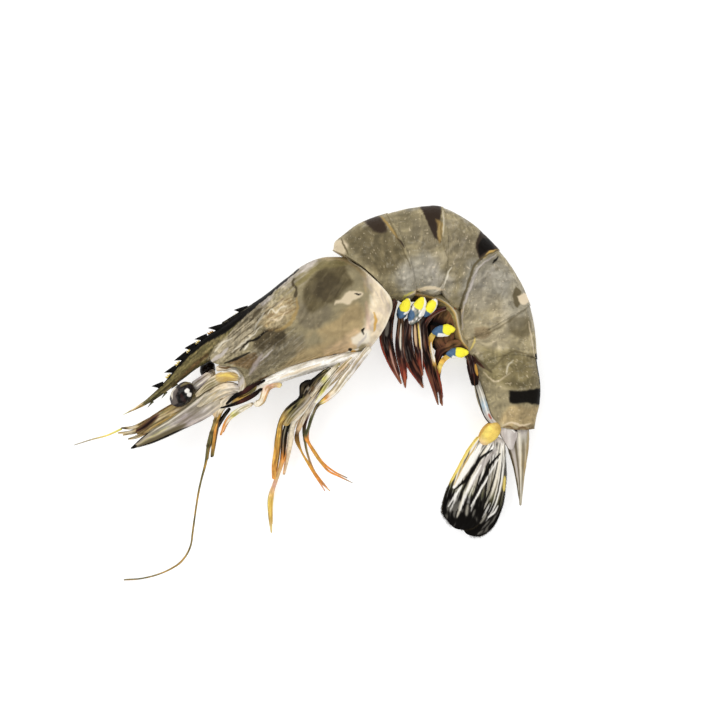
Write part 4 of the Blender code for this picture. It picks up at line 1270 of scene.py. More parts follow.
@dataclass(frozen=True)
class Limb:
    """A leg, feeler or leaf: a smooth route of (x, y, height, half breadth) with an oval section.

    The section is aside times breadth times the cosine, and up times breadth times flat times the sine. Its ends are
    rounded, its joints swell, and cup lifts its edges. Its tones are evenly spaced, or each with its share of the
    length, and blend from one to the next.
    """

    route: Array
    tones: tuple
    stripes: tuple = ()
    brushes: tuple = ()
    marks: tuple = ()
    fringes: tuple = ()
    joints: tuple = ()
    flat: float = 0.8
    swell: float = 0.22
    cup: float = 0.0
    blunt: float = 0.8
    mottle: float = 0.12
    wave: float = 0.06

    def frames(self, shares: Array) -> tuple[Array, Array, Array, Array]:
        """The middle line, its left-hand and upward directions, and half breadth with joints and rounded ends.

        Args:
            shares: Positions along the limb, from 0 to 1.

        Returns:
            Middle points, aside and up directions, and half breadths.
        """
        line = along(self.route, shares)
        middle = line[:, :3]
        way = np.gradient(middle, axis=0)
        way /= np.maximum(np.linalg.norm(way, axis=1), TINY)[:, None]
        aside = np.stack([-way[:, 1], way[:, 0], np.zeros(len(way))], axis=1)
        aside /= np.maximum(np.linalg.norm(aside, axis=1), TINY)[:, None]
        up = np.cross(way, aside)
        up *= np.sign(up[:, 2:] + TINY)
        half = np.maximum(line[:, 3], 0.04)
        for joint in self.joints:
            gap = (shares - joint) * np.linalg.norm(np.diff(middle, axis=0), axis=1).sum() / half.mean()
            bulge = np.exp(-((gap - 0.5) ** 2)) - 0.55 * np.exp(-((gap / 0.35) ** 2))
            half = half * (1 + self.swell * bulge)
        run = np.append(0, np.cumsum(np.linalg.norm(np.diff(middle, axis=0), axis=1)))
        for gap, size in ((run, half[0]), (run[-1] - run, half[-1])):
            reach = max(size * self.blunt, 0.05)
            half = half * np.sqrt(np.clip(1 - (1 - np.clip(gap / reach, 0, 1)) ** 2, 0.02, 1))
        return middle, aside, up, half

    def add_to(self, skin: Skin, seed: int) -> None:
        """Adds the limb, its paint and its bristles to a piece, with more stations and sides the larger it is."""
        reach = np.linalg.norm(np.diff(self.route[:, :2], axis=0), axis=1).sum()
        shares = np.linspace(0, 1, min(LEAST_STATIONS + int(reach / STATION_GAP), MOST_STATIONS))
        sides = min(LEAST_SIDES + int(SIDES_PER_MM * self.route[:, 3].max()), MOST_SIDES)
        middle, aside, up, half = self.frames(shares)
        angle = 2 * math.pi * np.arange(sides) / sides
        flank = (half[:, None] * np.cos(angle))[:, :, None]
        rise = (half[:, None] * (self.flat * np.sin(angle) + self.cup * np.cos(angle) ** 2))[:, :, None]
        rings = middle[:, None] + aside[:, None] * flank + up[:, None] * rise
        last = len(self.tones) - 1
        stops = [stop if isinstance(stop, tuple) else (i / last, stop) for i, stop in enumerate(self.tones)]
        length = np.repeat(shares, sides)
        paint = Paint(rings.reshape(-1, 3), stops[0][1], seed, warp=0.12)
        for channel in range(3):
            values = [tone.display[channel] for _, tone in stops]
            paint.colour[:, channel] = np.interp(length, [share for share, _ in stops], values)
        paint.mottle(1.0, self.mottle)
        run = np.linalg.norm(np.diff(middle, axis=0), axis=1).sum()
        flow = np.column_stack([length * run, flank.ravel()])
        for brush in self.brushes:
            paint.strokes(flow, brush, within(length, brush.span, 0.04))
        breadth = np.tile(np.cos(angle), len(shares)) + self.wave * clouds(paint.place, 1.2, 2, seed + 1)
        for stripe in self.stripes:
            start, end = stripe.span
            share = np.clip((length - start) / (end - start), 0, 1)
            centre = np.interp(share, (0, 1), np.broadcast_to(stripe.across, 2))
            thinned = stripe.half * (1 - (2 * share - 1) ** 4)
            cover = smooth_rise(0.5 - (np.abs(breadth - centre) - thinned) / stripe.soft)
            cover *= within(length, stripe.span, 0.03)
            paint.coat(stripe.tone, stripe.strength * cover)
            paint.lift += stripe.lift * cover
        for joint in self.joints:
            paint.shade(-0.3 * np.exp(-(((length - joint) / 0.01) ** 2)))
        paint.marks(self.marks)
        skin.wrap(rings, paint)
        for fringe in self.fringes:
            self.bristle(skin, fringe, seed)

    def bristle(self, skin: Skin, fringe: Fringe, seed: int) -> None:
        """Adds one fringe: root on the edge, tip out along aside and on along the limb, in slightly uneven lengths."""
        shares = np.linspace(*fringe.span, fringe.count)
        fine = np.linspace(0, 1, 200)
        middle, aside, up, half = (
            np.stack([np.interp(shares, fine, part[:, i]) for i in range(part.shape[1])], axis=1)
            for part in (p if p.ndim > 1 else p[:, None] for p in self.frames(fine))
        )
        uneven = lattice(np.stack([np.arange(fringe.count)] * 3, axis=1), seed)[:, None]
        way = np.cross(aside, up)
        way *= np.sign((way * np.gradient(middle, axis=0)).sum())
        edge = aside * fringe.side
        roots = middle + edge * half * 0.96
        reach = fringe.length * (1 + 0.25 * uneven)
        tips = roots + reach * (edge * math.cos(fringe.lean) + way * math.sin(fringe.lean)) + up * 0.06 * uneven
        skin.hairs(roots, tips, fringe.thickness, fringe.tone)


@dataclass(frozen=True)
class Egg:
    """A blunt or pointed egg, turned by degrees in the plane of the curl, with up to roughness of relief."""

    centre: tuple[float, float, float]
    radii: tuple[float, float, float]
    turn: float
    ground: Tone
    marks: tuple = ()
    brushes: tuple = ()
    point: float = 1.0
    roughness: float = 0.0
    mottle: float = 0.06
    gloss: float = 0.6
    stations: int = 64
    sides: int = 80

    def add_to(self, skin: Skin, seed: int) -> None:
        """Adds rings round the long axis: its cosine along it, and its sine to the power of point for their size.

        Args:
            skin: Surface to add to.
            seed: Seed of the paint.
        """
        polar = np.linspace(0.02, math.pi - 0.02, self.stations)[:, None]
        angle = 2 * math.pi * np.arange(self.sides) / self.sides
        local = np.stack(np.broadcast_arrays(
            self.radii[0] * np.cos(polar), self.radii[1] * np.sin(polar) ** self.point * np.cos(angle),
            self.radii[2] * np.sin(polar) ** self.point * np.sin(angle),
        ), axis=-1)
        cos, sin = math.cos(math.radians(self.turn)), math.sin(math.radians(self.turn))
        rings = local @ np.array([[cos, sin, 0], [-sin, cos, 0], [0, 0, 1]]) + self.centre
        paint = Paint(rings.reshape(-1, 3), self.ground, seed, warp=0.2, gloss=self.gloss)
        paint.mottle(1.2, self.mottle)
        paint.brush(*self.brushes)
        paint.marks(self.marks)
        paint.lift += self.roughness * clouds(paint.place, 1.4, 3, seed + 1)
        skin.wrap(rings, paint)


def limb_piece(name: str, parts: tuple, finish: Finish, slot: str, *nodes: str) -> bpy.types.Object:
    """Makes one piece from limbs and eggs.

    Args:
        name: Name of the piece.
        parts: Its limbs and eggs.
        finish: Material.
        slot: The record's material slot.
        nodes: CAD nodes that it replaces.

    Returns:
        The finished object.
    """
    skin = Skin(name)
    for number, part in enumerate(parts):
        part.add_to(skin, 60 + 5 * number)
    return skin.build(finish, slot, *nodes)


def raised(plan: tuple, heights: tuple | float) -> Array:
    """A route of (x, y, half breadth) with a height put in: one for all, or some, evenly spaced over its length."""
    plan = np.asarray(plan)
    run = np.append(0, np.cumsum(np.linalg.norm(np.diff(plan[:, :2], axis=0), axis=1)))
    heights = np.atleast_1d(heights)
    levels = np.interp(run / run[-1], np.linspace(0, 1, len(heights)), heights)
    return np.insert(plan, 2, levels, axis=1)


SIDES = (("left", 1), ("right", -1))


@dataclass
class Head:
    """The eyes on their stalks, the feelers' jointed bases, the feelers and the flat scales beside them."""

    eye_left: tuple = (-36.9, 0.3, 17.4)
    eye_right: tuple = (-30.3, 7.8, 5.6)

    def eyes(self) -> list[bpy.types.Object]:
        """Two glossy dark eyes with a clouded rim on the outer side, and their short stalks; the near eye carries two
        painted white highlights.
        """
        left = (
            Patch(Tone.ASH, 0.7, 0.5, (
                (-41.1, 0.6), (-39.9, 2.4), (-38.7, 1.8), (-39.3, -0.3), (-38.7, -2.4), (-39.9, -3),
            )),
            Streak(Tone.BONE, 0.8, 0.3, ((-40.5, -1.2), (-40.5, 0.9), (-39.3, 2.4)), 0.3),
            Streak(Tone.DRAB, 0.85, 0.4, ((-37.8, 2.7), (-34.5, 3.9), (-33.6, 2.4)), 0.58),
            Patch(Tone.BLACK, 0.8, 0.6, (
                (-38.1, 1.2), (-36.3, 2.4), (-34.2, 1.5), (-35.7, -3), (-37.8, -3), (-38.7, -0.9),
            )),
            Streak(Tone.MAROON, 0.6, 0.6, ((-37.8, 0.3), (-37.2, -1.2), (-36.3, -2.1)), 0.55),
            # Painted highlights: two small white glints on the wet eye.
            Streak(Tone.WHITE, 0.95, 0.2, ((-36.3, 1.2), (-35.7, 1.3)), 0.71),
            Streak(Tone.WHITE, 0.95, 0.2, ((-35.4, 0.3), (-35.2, 0)), 0.71),
        )
        right = (Streak(Tone.PINK, 0.8, 0.4, ((-28.2, 9.6), (-27.6, 8.4), (-28.2, 6.6)), 0.37),)
        stalk_tones = (Tone.CREAM, Tone.MAUVE, Tone.SLATE)
        lines = (Stripe(Tone.UMBER, (-0.5, -0.3), 0.12, (0.1, 1.0)), Stripe(Tone.BONE, (0.1, 0.3), 0.15, (0.0, 0.9)))
        stalk_left = Limb(raised((
            (-28.5, 6, 1.5), (-31.2, 4.2, 1.5), (-33.9, 2.4, 1.5),
        ), (14.6, 16.6)), stalk_tones, lines)
        stalk_right = Limb(raised((
            (-27.9, 6, 1.5), (-29.1, 6.3, 1.5), (-30.6, 7.2, 1.5),
        ), (7.6, 6.4)), stalk_tones, lines)
        made = []
        for side, centre, radii, turn, marks in (
            ("left", self.eye_left, (4.3, 3.0, 3.3), 48, left), ("right", self.eye_right, (2.7, 2.2, 2.6), 50, right),
        ):
            ball = Egg(centre, radii, turn, Tone.EYE, marks, roughness=0.3, gloss=1.0)
            made.append(limb_piece(f"eye_{side}_ball", (ball,), EYE_FINISH, "eye", f"eye_{side}"))
        for side, stalk in (("left", stalk_left), ("right", stalk_right)):
            made.append(limb_piece(f"eyestalk_{side}_skin", (
                stalk,
            ), SOFT_FINISH, "soft_underside", f"eyestalk_{side}"))
        return made

    def bases(self) -> list[bpy.types.Object]:
        """The whitish, streaked joints in front of the shield, fanned out, that carry the feelers and scales."""
        marks = (
            Patch(Tone.GOLD, 0.6, 0.7, ((-27.3, 6.9), (-20.7, 6), (-21, 4.5), (-23.7, 3.9), (-27.3, 4.5))),
            Streak(Tone.YELLOW, 0.7, 0.4, ((-26.7, 5.7), (-24.3, 6), (-21.9, 5.4)), 0.46),
            Streak(Tone.WHITE, 0.8, 0.3, ((-25.5, 6.9), (-21.3, 6.9), (-20.1, 5.4)), 0.36),
            Streak(Tone.BROWN, 0.9, 0.3, (
                (-26.4, 8.4), (-24.3, 8.1), (-22.5, 8.8), (-20.1, 8.2), (-18.3, 6.3),
            ), 0.39),
            Streak(Tone.LILAC, 0.9, 0.6, ((-21.3, 2.4), (-19.8, 3.6), (-19.2, 5.1)), 0.64),
        )
        folds = (
            Brush(Tone.BONE, Tone.SLATE, 0.6, (3.0, 0.4), lift=0.08),
            Brush(Tone.CREAM, Tone.OCHRE, 0.35, (4.0, 0.25), lift=0.04),
        )
        strips = (Brush(Tone.CREAM, Tone.DRAB, 0.8, (5.0, 0.35), lift=0.08),)
        made = []
        for side, turn in SIDES:
            parts = []
            for plan, rise, tones, brushes in (
                (
                    ((-27, 7.8, 0.72), (-24.3, 8.4, 1.2), (-19.2, 4.8, 1.44), (-19.5, 1.8, 1.2), (-21.3, -0.3, 0.78)),
                    4.2, (Tone.CREAM, Tone.SLATE, Tone.SAND, Tone.SLATE), folds,
                ),
                (
                    ((-19.8, 5.1, 0.9), (-25.2, 5.4, 1.56), (-27.9, 3.9, 1.32), (-33, -0.3, 0.48)), 5.4,
                    (Tone.SAND, Tone.GOLD, Tone.SAND, Tone.SAND, Tone.CREAM), strips,
                ),
                (
                    ((-20.1, 1.8, 1.02), (-22.8, 2.1, 1.8), (-25.2, 1.5, 2.22), (-27.6, 0, 1.8), (-32.7, -3.3, 0.48)),
                    4.6, (Tone.LILAC, Tone.CREAM, Tone.SAND, Tone.SAND), folds,
                ),
                (
                    (
                        (-21.3, 0.3, 1.02), (-23.4, -1.2, 1.62), (-25.5, -3, 1.44), (-26.7, -4.8, 1.2),
                        (-27.3, -6.6, 0.78),
                    ),
                    3.6, (Tone.LILAC, Tone.CREAM, Tone.BONE, Tone.PEACH), folds,
                ),
            ):
                parts.append(Limb(
                    raised(plan, MID_HEIGHT + turn * rise), tones, (), brushes, marks, flat=0.55, mottle=0.15,
                ))
            made.append(
                limb_piece(f"feeler_base_{side}", tuple(parts), SOFT_FINISH, "soft_underside", f"antenna_base_{side}")
            )
        return made

    def scales(self) -> list[bpy.types.Object]:
        """The long flat scales: pale lilac-grey leaves with a raised midrib, dark lower edges and a dark tip."""
        plan = (
            (-26.4, -0.3, 3.45), (-32.7, -4.8, 3.12), (-38.1, -8.1, 2.46), (-48.6, -13.8, 1.32), (-52.5, -15.9, 0.18),
        )
        stripes = (
            Stripe(Tone.BONE, (-0.85, -0.7), 0.1, (0.0, 0.75), 0.8, lift=0.08),
            Stripe(Tone.OLIVE, (-0.97, -0.9), 0.08, (0.0, 0.7), 0.7),
            Stripe(Tone.STONE, (-0.2, -0.4), 0.14, (0.0, 0.35), 0.8, 0.4, lift=-0.08),
            Stripe(Tone.BROWN, (-0.25, -0.3), 0.08, (0.0, 0.2), 0.8, 0.3),
            Stripe(Tone.UMBER, (0.6, 0.5), 0.4, (0.4, 1.0), 0.85, 0.5),
            Stripe(Tone.UMBER, (-0.1, 0.2), 0.1, (0.1, 0.5), 0.7, 0.4, lift=-0.08),
            Stripe(Tone.CITRON, (-0.2, 0.0), 0.1, (0.55, 0.9), 0.4, 0.4),
            Stripe(Tone.BLACK, (0.97, 0.9), 0.2, (0.4, 1.2), 0.95),
            Stripe(Tone.BLACK, (-0.98, -0.85), 0.2, (0.75, 1.1), 0.95),
            Stripe(Tone.BLACK, 0.0, 0.9, (0.93, 1.04), 0.9, 0.4),
        )
        tones = (Tone.SAND, Tone.LILAC, Tone.MAUVE, Tone.SLATE, Tone.STONE, Tone.UMBER)
        brushes = (
            Brush(Tone.CREAM, Tone.STONE, 0.55, (9.0, 0.6), lift=0.06),
            Brush(Tone.BONE, Tone.MAUVE, 0.3, (5.0, 0.25), lift=0.03),
        )
        made = []
        for side, turn in SIDES:
            heights = (MID_HEIGHT + turn * 4.4, MID_HEIGHT + turn * 4.0, MID_HEIGHT + turn * 3.2)
            fringe = Fringe(1, (0.25, 0.93), 0.5, 130, Tone.SLATE, 1.2, 0.04)
            leaf = Limb(
                raised(plan, heights), tones, stripes, brushes, (), (fringe,), flat=0.16, cup=-0.05, wave=0.03,
            )
            made.append(limb_piece(f"scale_{side}", (leaf,), BLADE_FINISH, "scale_blade", f"antennal_scale_{side}"))
        return made

    def antennules(self) -> list[bpy.types.Object]:
        """The short feelers: a stalk of gold and pale strips, ending in spotted whips, and one thin thread."""
        stripes = (
            Stripe(Tone.BROWN, (-0.9, -0.8), 0.12, (0.2, 1.0)),
            Stripe(Tone.OLIVE, (-0.45, -0.3), 0.1, (0.0, 0.5), 0.8),
            Stripe(Tone.CREAM, (0.05, 0.15), 0.1, (0.0, 0.6), 0.8),
            Stripe(Tone.GOLD, (0.5, 0.6), 0.14, (0.0, 0.95)),
            Stripe(Tone.OLIVE, (0.85, 0.9), 0.1, (0.0, 0.7)),
            Stripe(Tone.MAROON, (-0.5, -0.1), 0.35, (0.7, 1.05), 0.9, 0.5),
            Stripe(Tone.BLACK, (-0.4, -0.1), 0.15, (0.74, 0.98), 0.9, 0.4),
        )
        streaks = (
            Brush(Tone.CREAM, Tone.OLIVE, 0.7, (6.0, 0.35), lift=0.08),
            Brush(Tone.GOLD, Tone.BROWN, 0.5, (3.0, 0.25), lift=0.04),
        )
        tones = (
            (0.0, Tone.CREAM), (0.3, Tone.SAND), (0.5, Tone.TAN), (0.65, Tone.DRAB), (0.8, Tone.DRAB),
            (1.0, Tone.BROWN),
        )
        tips = (Tone.MAROON, Tone.OCHRE, Tone.SAND, Tone.GOLD)
        whip_brushes = (Brush(Tone.CREAM, Tone.BLACK, 0.7, (3.0, 0.2)),)
        made = []
        for side, turn in SIDES:
            lift = 0.8 * turn
            high = MID_HEIGHT + 1.9 * turn
            stalk = Limb(raised((
                (-25.5, 4.8, 2.1), (-30.6, 1.2, 2.4), (-35.7, -2.7, 2.4), (-40.5, -5.1, 2.28), (-45.3, -7.8, 1.98),
                (-48.6, -9.9, 1.62), (-51.3, -11.1, 1.02),
            ), (high + lift, high, high - lift)), tones, stripes, streaks, flat=0.5)
            whips = tuple(
                Limb(raised(plan, (high - lift, high - 1.2 * lift)), tips, (), whip_brushes, flat=0.7)
                for plan in (
                    ((-46.5, -7.2, 0.78), (-52.5, -9.8, 0.54), (-55.8, -9.9, 0.21)),
                    ((-47.1, -8.7, 0.78), (-52.8, -11.1, 0.54), (-56.7, -11.4, 0.21)),
                    ((-47.7, -9.9, 0.72), (-53.1, -11.5, 0.45), (-55.2, -12, 0.18)),
                    ((-47.7, -10.8, 0.72), (-51.9, -12.8, 0.45), (-53.7, -13.2, 0.18)),
                )
            )
            made.append(limb_piece(f"short_feeler_{side}", (
                stalk, *whips,
            ), FEELER_FINISH, "feeler", f"antennule_{side}"))
        thread = Limb(
            raised((
                (-55.8, -10.2, 0.33), (-60.6, -12.3, 0.27), (-65.1, -13.5, 0.24), (-70.8, -15.3, 0.18),
            ), (9.0, 7.6, 6.6, 5.2)),
            (Tone.CITRON, Tone.YELLOW, Tone.SAND, Tone.MIST),
        )
        made.append(limb_piece("feeler_thread", (thread,), FEELER_FINISH, "feeler", "antennule_thread"))
        return made

    def antenna(self) -> bpy.types.Object:
        """The long left feeler: three thick joints, then a whip that tapers down to the table."""
        plan = (
            (-26.1, -4.8, 0.9), (-27.6, -8.7, 0.6), (-29.1, -13.5, 0.6), (-30.6, -21.3, 0.39), (-31.8, -25.5, 0.33),
            (-34.8, -42, 0.3), (-35.4, -45.6, 0.3), (-39, -51.3, 0.3), (-41.7, -53.1, 0.27), (-50.1, -56.1, 0.24),
            (-56.4, -56.7, 0.21),
        )
        heights = (14.9, 13.6, 11.7, 9.8, 7.8, 5.2, 2.4, 0.9, 0.35)
        tones = (
            (0.0, Tone.OCHRE), (0.12, Tone.DRAB), (0.25, Tone.OLIVE), (0.35, Tone.DRAB), (0.45, Tone.OCHRE),
            (0.6, Tone.DRAB), (0.72, Tone.OCHRE), (0.85, Tone.DRAB), (1.0, Tone.OLIVE),
        )
        whip = Limb(raised(plan, heights), tones, (), (Brush(
            Tone.AMBER, Tone.MOSS, 0.8, (2.5, 0.2),
        ),), joints=(0.045, 0.1, 0.16))
        return limb_piece("long_feeler", (whip,), FEELER_FINISH, "feeler", "antenna_left")

    def build(self) -> list[bpy.types.Object]:
        """Makes all of the head's pieces in front of the shield."""
        return [*self.eyes(), *self.bases(), *self.scales(), *self.antennules(), self.antenna()]


PALE_STROKES = Brush(Tone.WHITE, Tone.TAN, 0.7, (5.0, 0.3), span=(0.0, 0.5))
WARM_STROKES = Brush(Tone.YELLOW, Tone.BROWN, 0.5, (4.0, 0.22), span=(0.4, 1.0))

# Each walking leg's limbs: route, offset from the middle, colours, stripes and brushes.
WALKING_LEGS = {
    "leg_1": (
        (
            (
                (-7.5, 2.7, 0.6), (-9.6, 3.3, 1.08), (-11.7, 2.4, 1.26), (-12.6, 0.3, 1.08), (-13.5, -1.8, 1.02),
                (-15, -2.7, 0.78), (-15.8, -2.1, 0.42),
            ),
            4.2, ((0.0, Tone.YELLOW), (0.12, Tone.PEACH), (0.3, Tone.PINK), (0.6, Tone.CREAM), (1.0, Tone.BONE)),
            (Stripe(Tone.ORANGE, (0.6, 0.5), 0.2, (0.4, 0.75), 0.6),),
            (Brush(Tone.BONE, Tone.OCHRE, 0.6, (1.6, 0.4)),),
        ),
        (
            ((-16.2, -2.7, 0.48), (-18.9, -3.9, 0.84), (-23.4, -7.2, 0.72), (-25.8, -12, 0.27)), 5.4,
            (
                (0.0, Tone.CREAM), (0.3, Tone.BONE), (0.45, Tone.CITRON), (0.6, Tone.CREAM), (0.75, Tone.ORANGE),
                (1.0, Tone.ORANGE),
            ),
            (Stripe(Tone.ORANGE, (-0.7, -0.3), 0.3, (0.5, 1.0)),), (Brush(Tone.WHITE, Tone.DRAB, 0.6, (3.0, 0.25)),),
        ),
    ),
    "leg_2": (
        (
            (
                (6, 7.5, 0.66), (3.3, 5.1, 0.9), (-1.2, -0.9, 1.08), (-3.6, -3.3, 1.08), (-6, -5.4, 1.14),
                (-7.6, -7.8, 0.78), (-8.4, -12, 0.96), (-9, -17.1, 0.96), (-9.6, -21.3, 0.9), (-9.9, -25.2, 0.54),
            ),
            6.4,
            (
                (0.0, Tone.OLIVE), (0.15, Tone.SEPIA), (0.3, Tone.OLIVE), (0.42, Tone.MOSS), (0.48, Tone.OCHRE),
                (0.65, Tone.AMBER), (1.0, Tone.ORANGE),
            ),
            (
                Stripe(Tone.BLACK, (-0.8, -0.75), 0.35, (0.0, 0.46)),
                Stripe(Tone.MOSS, -0.95, 0.2, (0.46, 0.75)),
                Stripe(Tone.BROWN, (0.8, 0.9), 0.2, (0.46, 0.95), 0.8),
            ),
            (Brush(Tone.TAN, Tone.BLACK, 0.7, (3.0, 0.3), span=(0.0, 0.48)), WARM_STROKES),
        ),
        (
            (
                (7.2, 8.1, 0.72), (4.5, 5.4, 1.32), (0.6, 0.9, 2.28), (-0.9, -1.5, 1.86), (-5.4, -6.3, 2.04),
                (-6.9, -9, 1.02),
            ),
            5.6, (Tone.OLIVE, Tone.SEPIA, Tone.BROWN, Tone.STONE, Tone.OLIVE, Tone.GOLD),
            (
                Stripe(Tone.CREAM, (0.95, 0.9), 0.2, (0.15, 0.9), 0.9, 0.3),
                Stripe(Tone.LILAC, (0.55, 0.4), 0.1, (0.35, 0.85), 0.7),
                Stripe(Tone.BLACK, (-0.35, -0.2), 0.12, (0.3, 0.75)),
                Stripe(Tone.BLACK, -0.95, 0.32, (-0.1, 1.0), 1.0),
                Stripe(Tone.MIST, -0.35, 0.12, (0.36, 0.42), 0.9, 0.3),
            ),
            (
                Brush(Tone.SAND, Tone.SEPIA, 0.7, (5.0, 0.3), span=(0.4, 1.0)),
                Brush(Tone.SLATE, Tone.BLACK, 0.7, (3.0, 0.3), span=(0.0, 0.45)),
            ),
        ),
        (
            ((1.8, 4.2, 0.42), (-1.2, 2.9, 0.78), (-1.5, 1.2, 0.6), (-1.6, -0.9, 0.48)), 7.4,
            ((0.0, Tone.BLACK), (0.6, Tone.SEPIA), (1.0, Tone.BLACK)),
            (Stripe(Tone.BLACK, -0.8, 0.5, (0.0, 1.0), 1.0),), (),
        ),
    ),
    "leg_3": (
        (
            (
                (9.3, 8.7, 0.78), (6, 4.8, 0.9), (-1.5, -3, 1.08), (-4.8, -6.3, 1.02), (-6.3, -10.5, 0.87),
                (-7.6, -20.4, 0.72), (-8.6, -23.7, 0.54), (-11.1, -31.5, 0.78), (-11.1, -35.7, 0.69),
                (-10.8, -41.7, 0.24),
            ),
            4.6,
            (
                Tone.OLIVE, Tone.CITRON, Tone.DRAB, Tone.SLATE, Tone.OLIVE, Tone.MOSS, Tone.BROWN, Tone.ORANGE,
                Tone.PEACH, Tone.PINK, Tone.YELLOW, Tone.GOLD, Tone.CREAM,
            ),
            (
                Stripe(Tone.BLACK, -0.9, 0.28, (0.33, 0.6)),
                Stripe(Tone.MIST, (-0.25, -0.2), 0.18, (0.34, 0.56), 0.8),
                Stripe(Tone.BLACK, 0.5, 0.36, (0.3, 0.6)),
                Stripe(Tone.OLIVE, -0.9, 0.15, (0.78, 0.96), 0.7),
                Stripe(Tone.AMBER, 0.6, 0.25, (0.78, 0.96), 0.7),
            ),
            (
                Brush(Tone.CREAM, Tone.BLACK, 0.75, (4.0, 0.25), span=(0.0, 0.38)),
                Brush(Tone.YELLOW, Tone.AMBER, 0.5, (4.0, 0.25), span=(0.6, 1.0)),
            ),
        ),
        (
            (
                (4.8, 4.2, 0.6), (1.8, 0, 0.78), (-1.2, -4.5, 0.9), (-4, -7.8, 0.9), (-4.9, -13.5, 0.87),
                (-7, -24, 0.36),
            ),
            3.6, ((0.0, Tone.CITRON), (0.1, Tone.CREAM), (0.4, Tone.BONE), (0.7, Tone.CREAM), (1.0, Tone.PEACH)),
            (Stripe(Tone.ORANGE, -0.7, 0.25, (0.78, 1.0), 0.8),), (PALE_STROKES,),
        ),
    ),
    "leg_4": (
        (
            (
                (12.9, 9.3, 0.84), (8.4, 5.1, 0.96), (3.9, 0.9, 0.9), (-1.8, -8.7, 0.72), (-3.3, -13.2, 0.48),
                (-1.8, -16.8, 0.3), (1.5, -22.5, 0.45), (5.4, -29.1, 0.15),
            ),
            2.6,
            (
                (0.0, Tone.BONE), (0.2, Tone.CREAM), (0.3, Tone.LILAC), (0.45, Tone.CREAM), (0.54, Tone.PEACH),
                (0.58, Tone.BROWN), (0.7, Tone.AMBER), (0.78, Tone.AMBER), (0.9, Tone.ORANGE), (1.0, Tone.PINK),
            ),
            (Stripe(Tone.UMBER, -0.7, 0.14, (0.1, 0.55), 0.8),), (PALE_STROKES,),
        ),
        (
            ((3, -0.9, 0.42), (-0.8, -9.3, 0.57), (0, -17.1, 0.3), (4.2, -26.4, 0.3), (6.9, -29.1, 0.15)), 1.4,
            (
                Tone.CREAM, Tone.BONE, Tone.MAROON, Tone.MOSS, Tone.OLIVE, Tone.PEACH, Tone.ORANGE, Tone.ORANGE,
                Tone.PINK,
            ),
            (), (WARM_STROKES,),
        ),
    ),
    "leg_5": (
        (
            (
                (18.9, 14.4, 1.02), (11.4, 5.1, 1.2), (7.8, 0.6, 1.02), (5.4, -1.5, 0.72), (3.3, -3, 0.51),
                (1.8, -6, 0.48), (0.6, -9.6, 0.48), (-0.3, -12.6, 0.48), (0.6, -14.4, 0.42), (4.2, -20.1, 0.36),
                (6.6, -22.8, 0.33), (9.6, -24.3, 0.27), (13.8, -26.4, 0.12),
            ),
            5.8,
            (
                (0.0, Tone.BONE), (0.12, Tone.LILAC), (0.25, Tone.BONE), (0.34, Tone.CREAM), (0.37, Tone.ORANGE),
                (0.4, Tone.YELLOW), (0.43, Tone.BLACK), (0.5, Tone.MOSS), (0.6, Tone.MOSS), (0.64, Tone.ORANGE),
                (0.75, Tone.AMBER), (0.85, Tone.ORANGE), (0.93, Tone.ORANGE), (1.0, Tone.SLATE),
            ),
            (Stripe(Tone.STONE, (0.0, 0.1), 0.12, (0.08, 0.3), 0.7), Stripe(Tone.MIST, 0.9, 0.25, (0.42, 0.62), 0.8)),
            (PALE_STROKES,),
        ),
        (
            ((13.5, 11.4, 0.48), (7.2, 4.5, 0.72), (2.4, -2.4, 0.3)), 6.6,
            (Tone.CREAM, Tone.PEACH, Tone.LILAC, Tone.CITRON, Tone.BONE), (),
            (Brush(Tone.WHITE, Tone.DRAB, 0.8, (4.0, 0.25)),),
        ),
        (
            ((9.9, 9.6, 0.36), (7.8, 7.5, 0.66), (1.2, -0.3, 0.36)), 7.2,
            (
                (0.0, Tone.DRAB), (0.15, Tone.SAND), (0.35, Tone.BONE), (0.5, Tone.CITRON), (0.65, Tone.LILAC),
                (1.0, Tone.CREAM),
            ),
            (), (Brush(Tone.BONE, Tone.DRAB, 0.6, (3.0, 0.25)),),
        ),
    ),
}


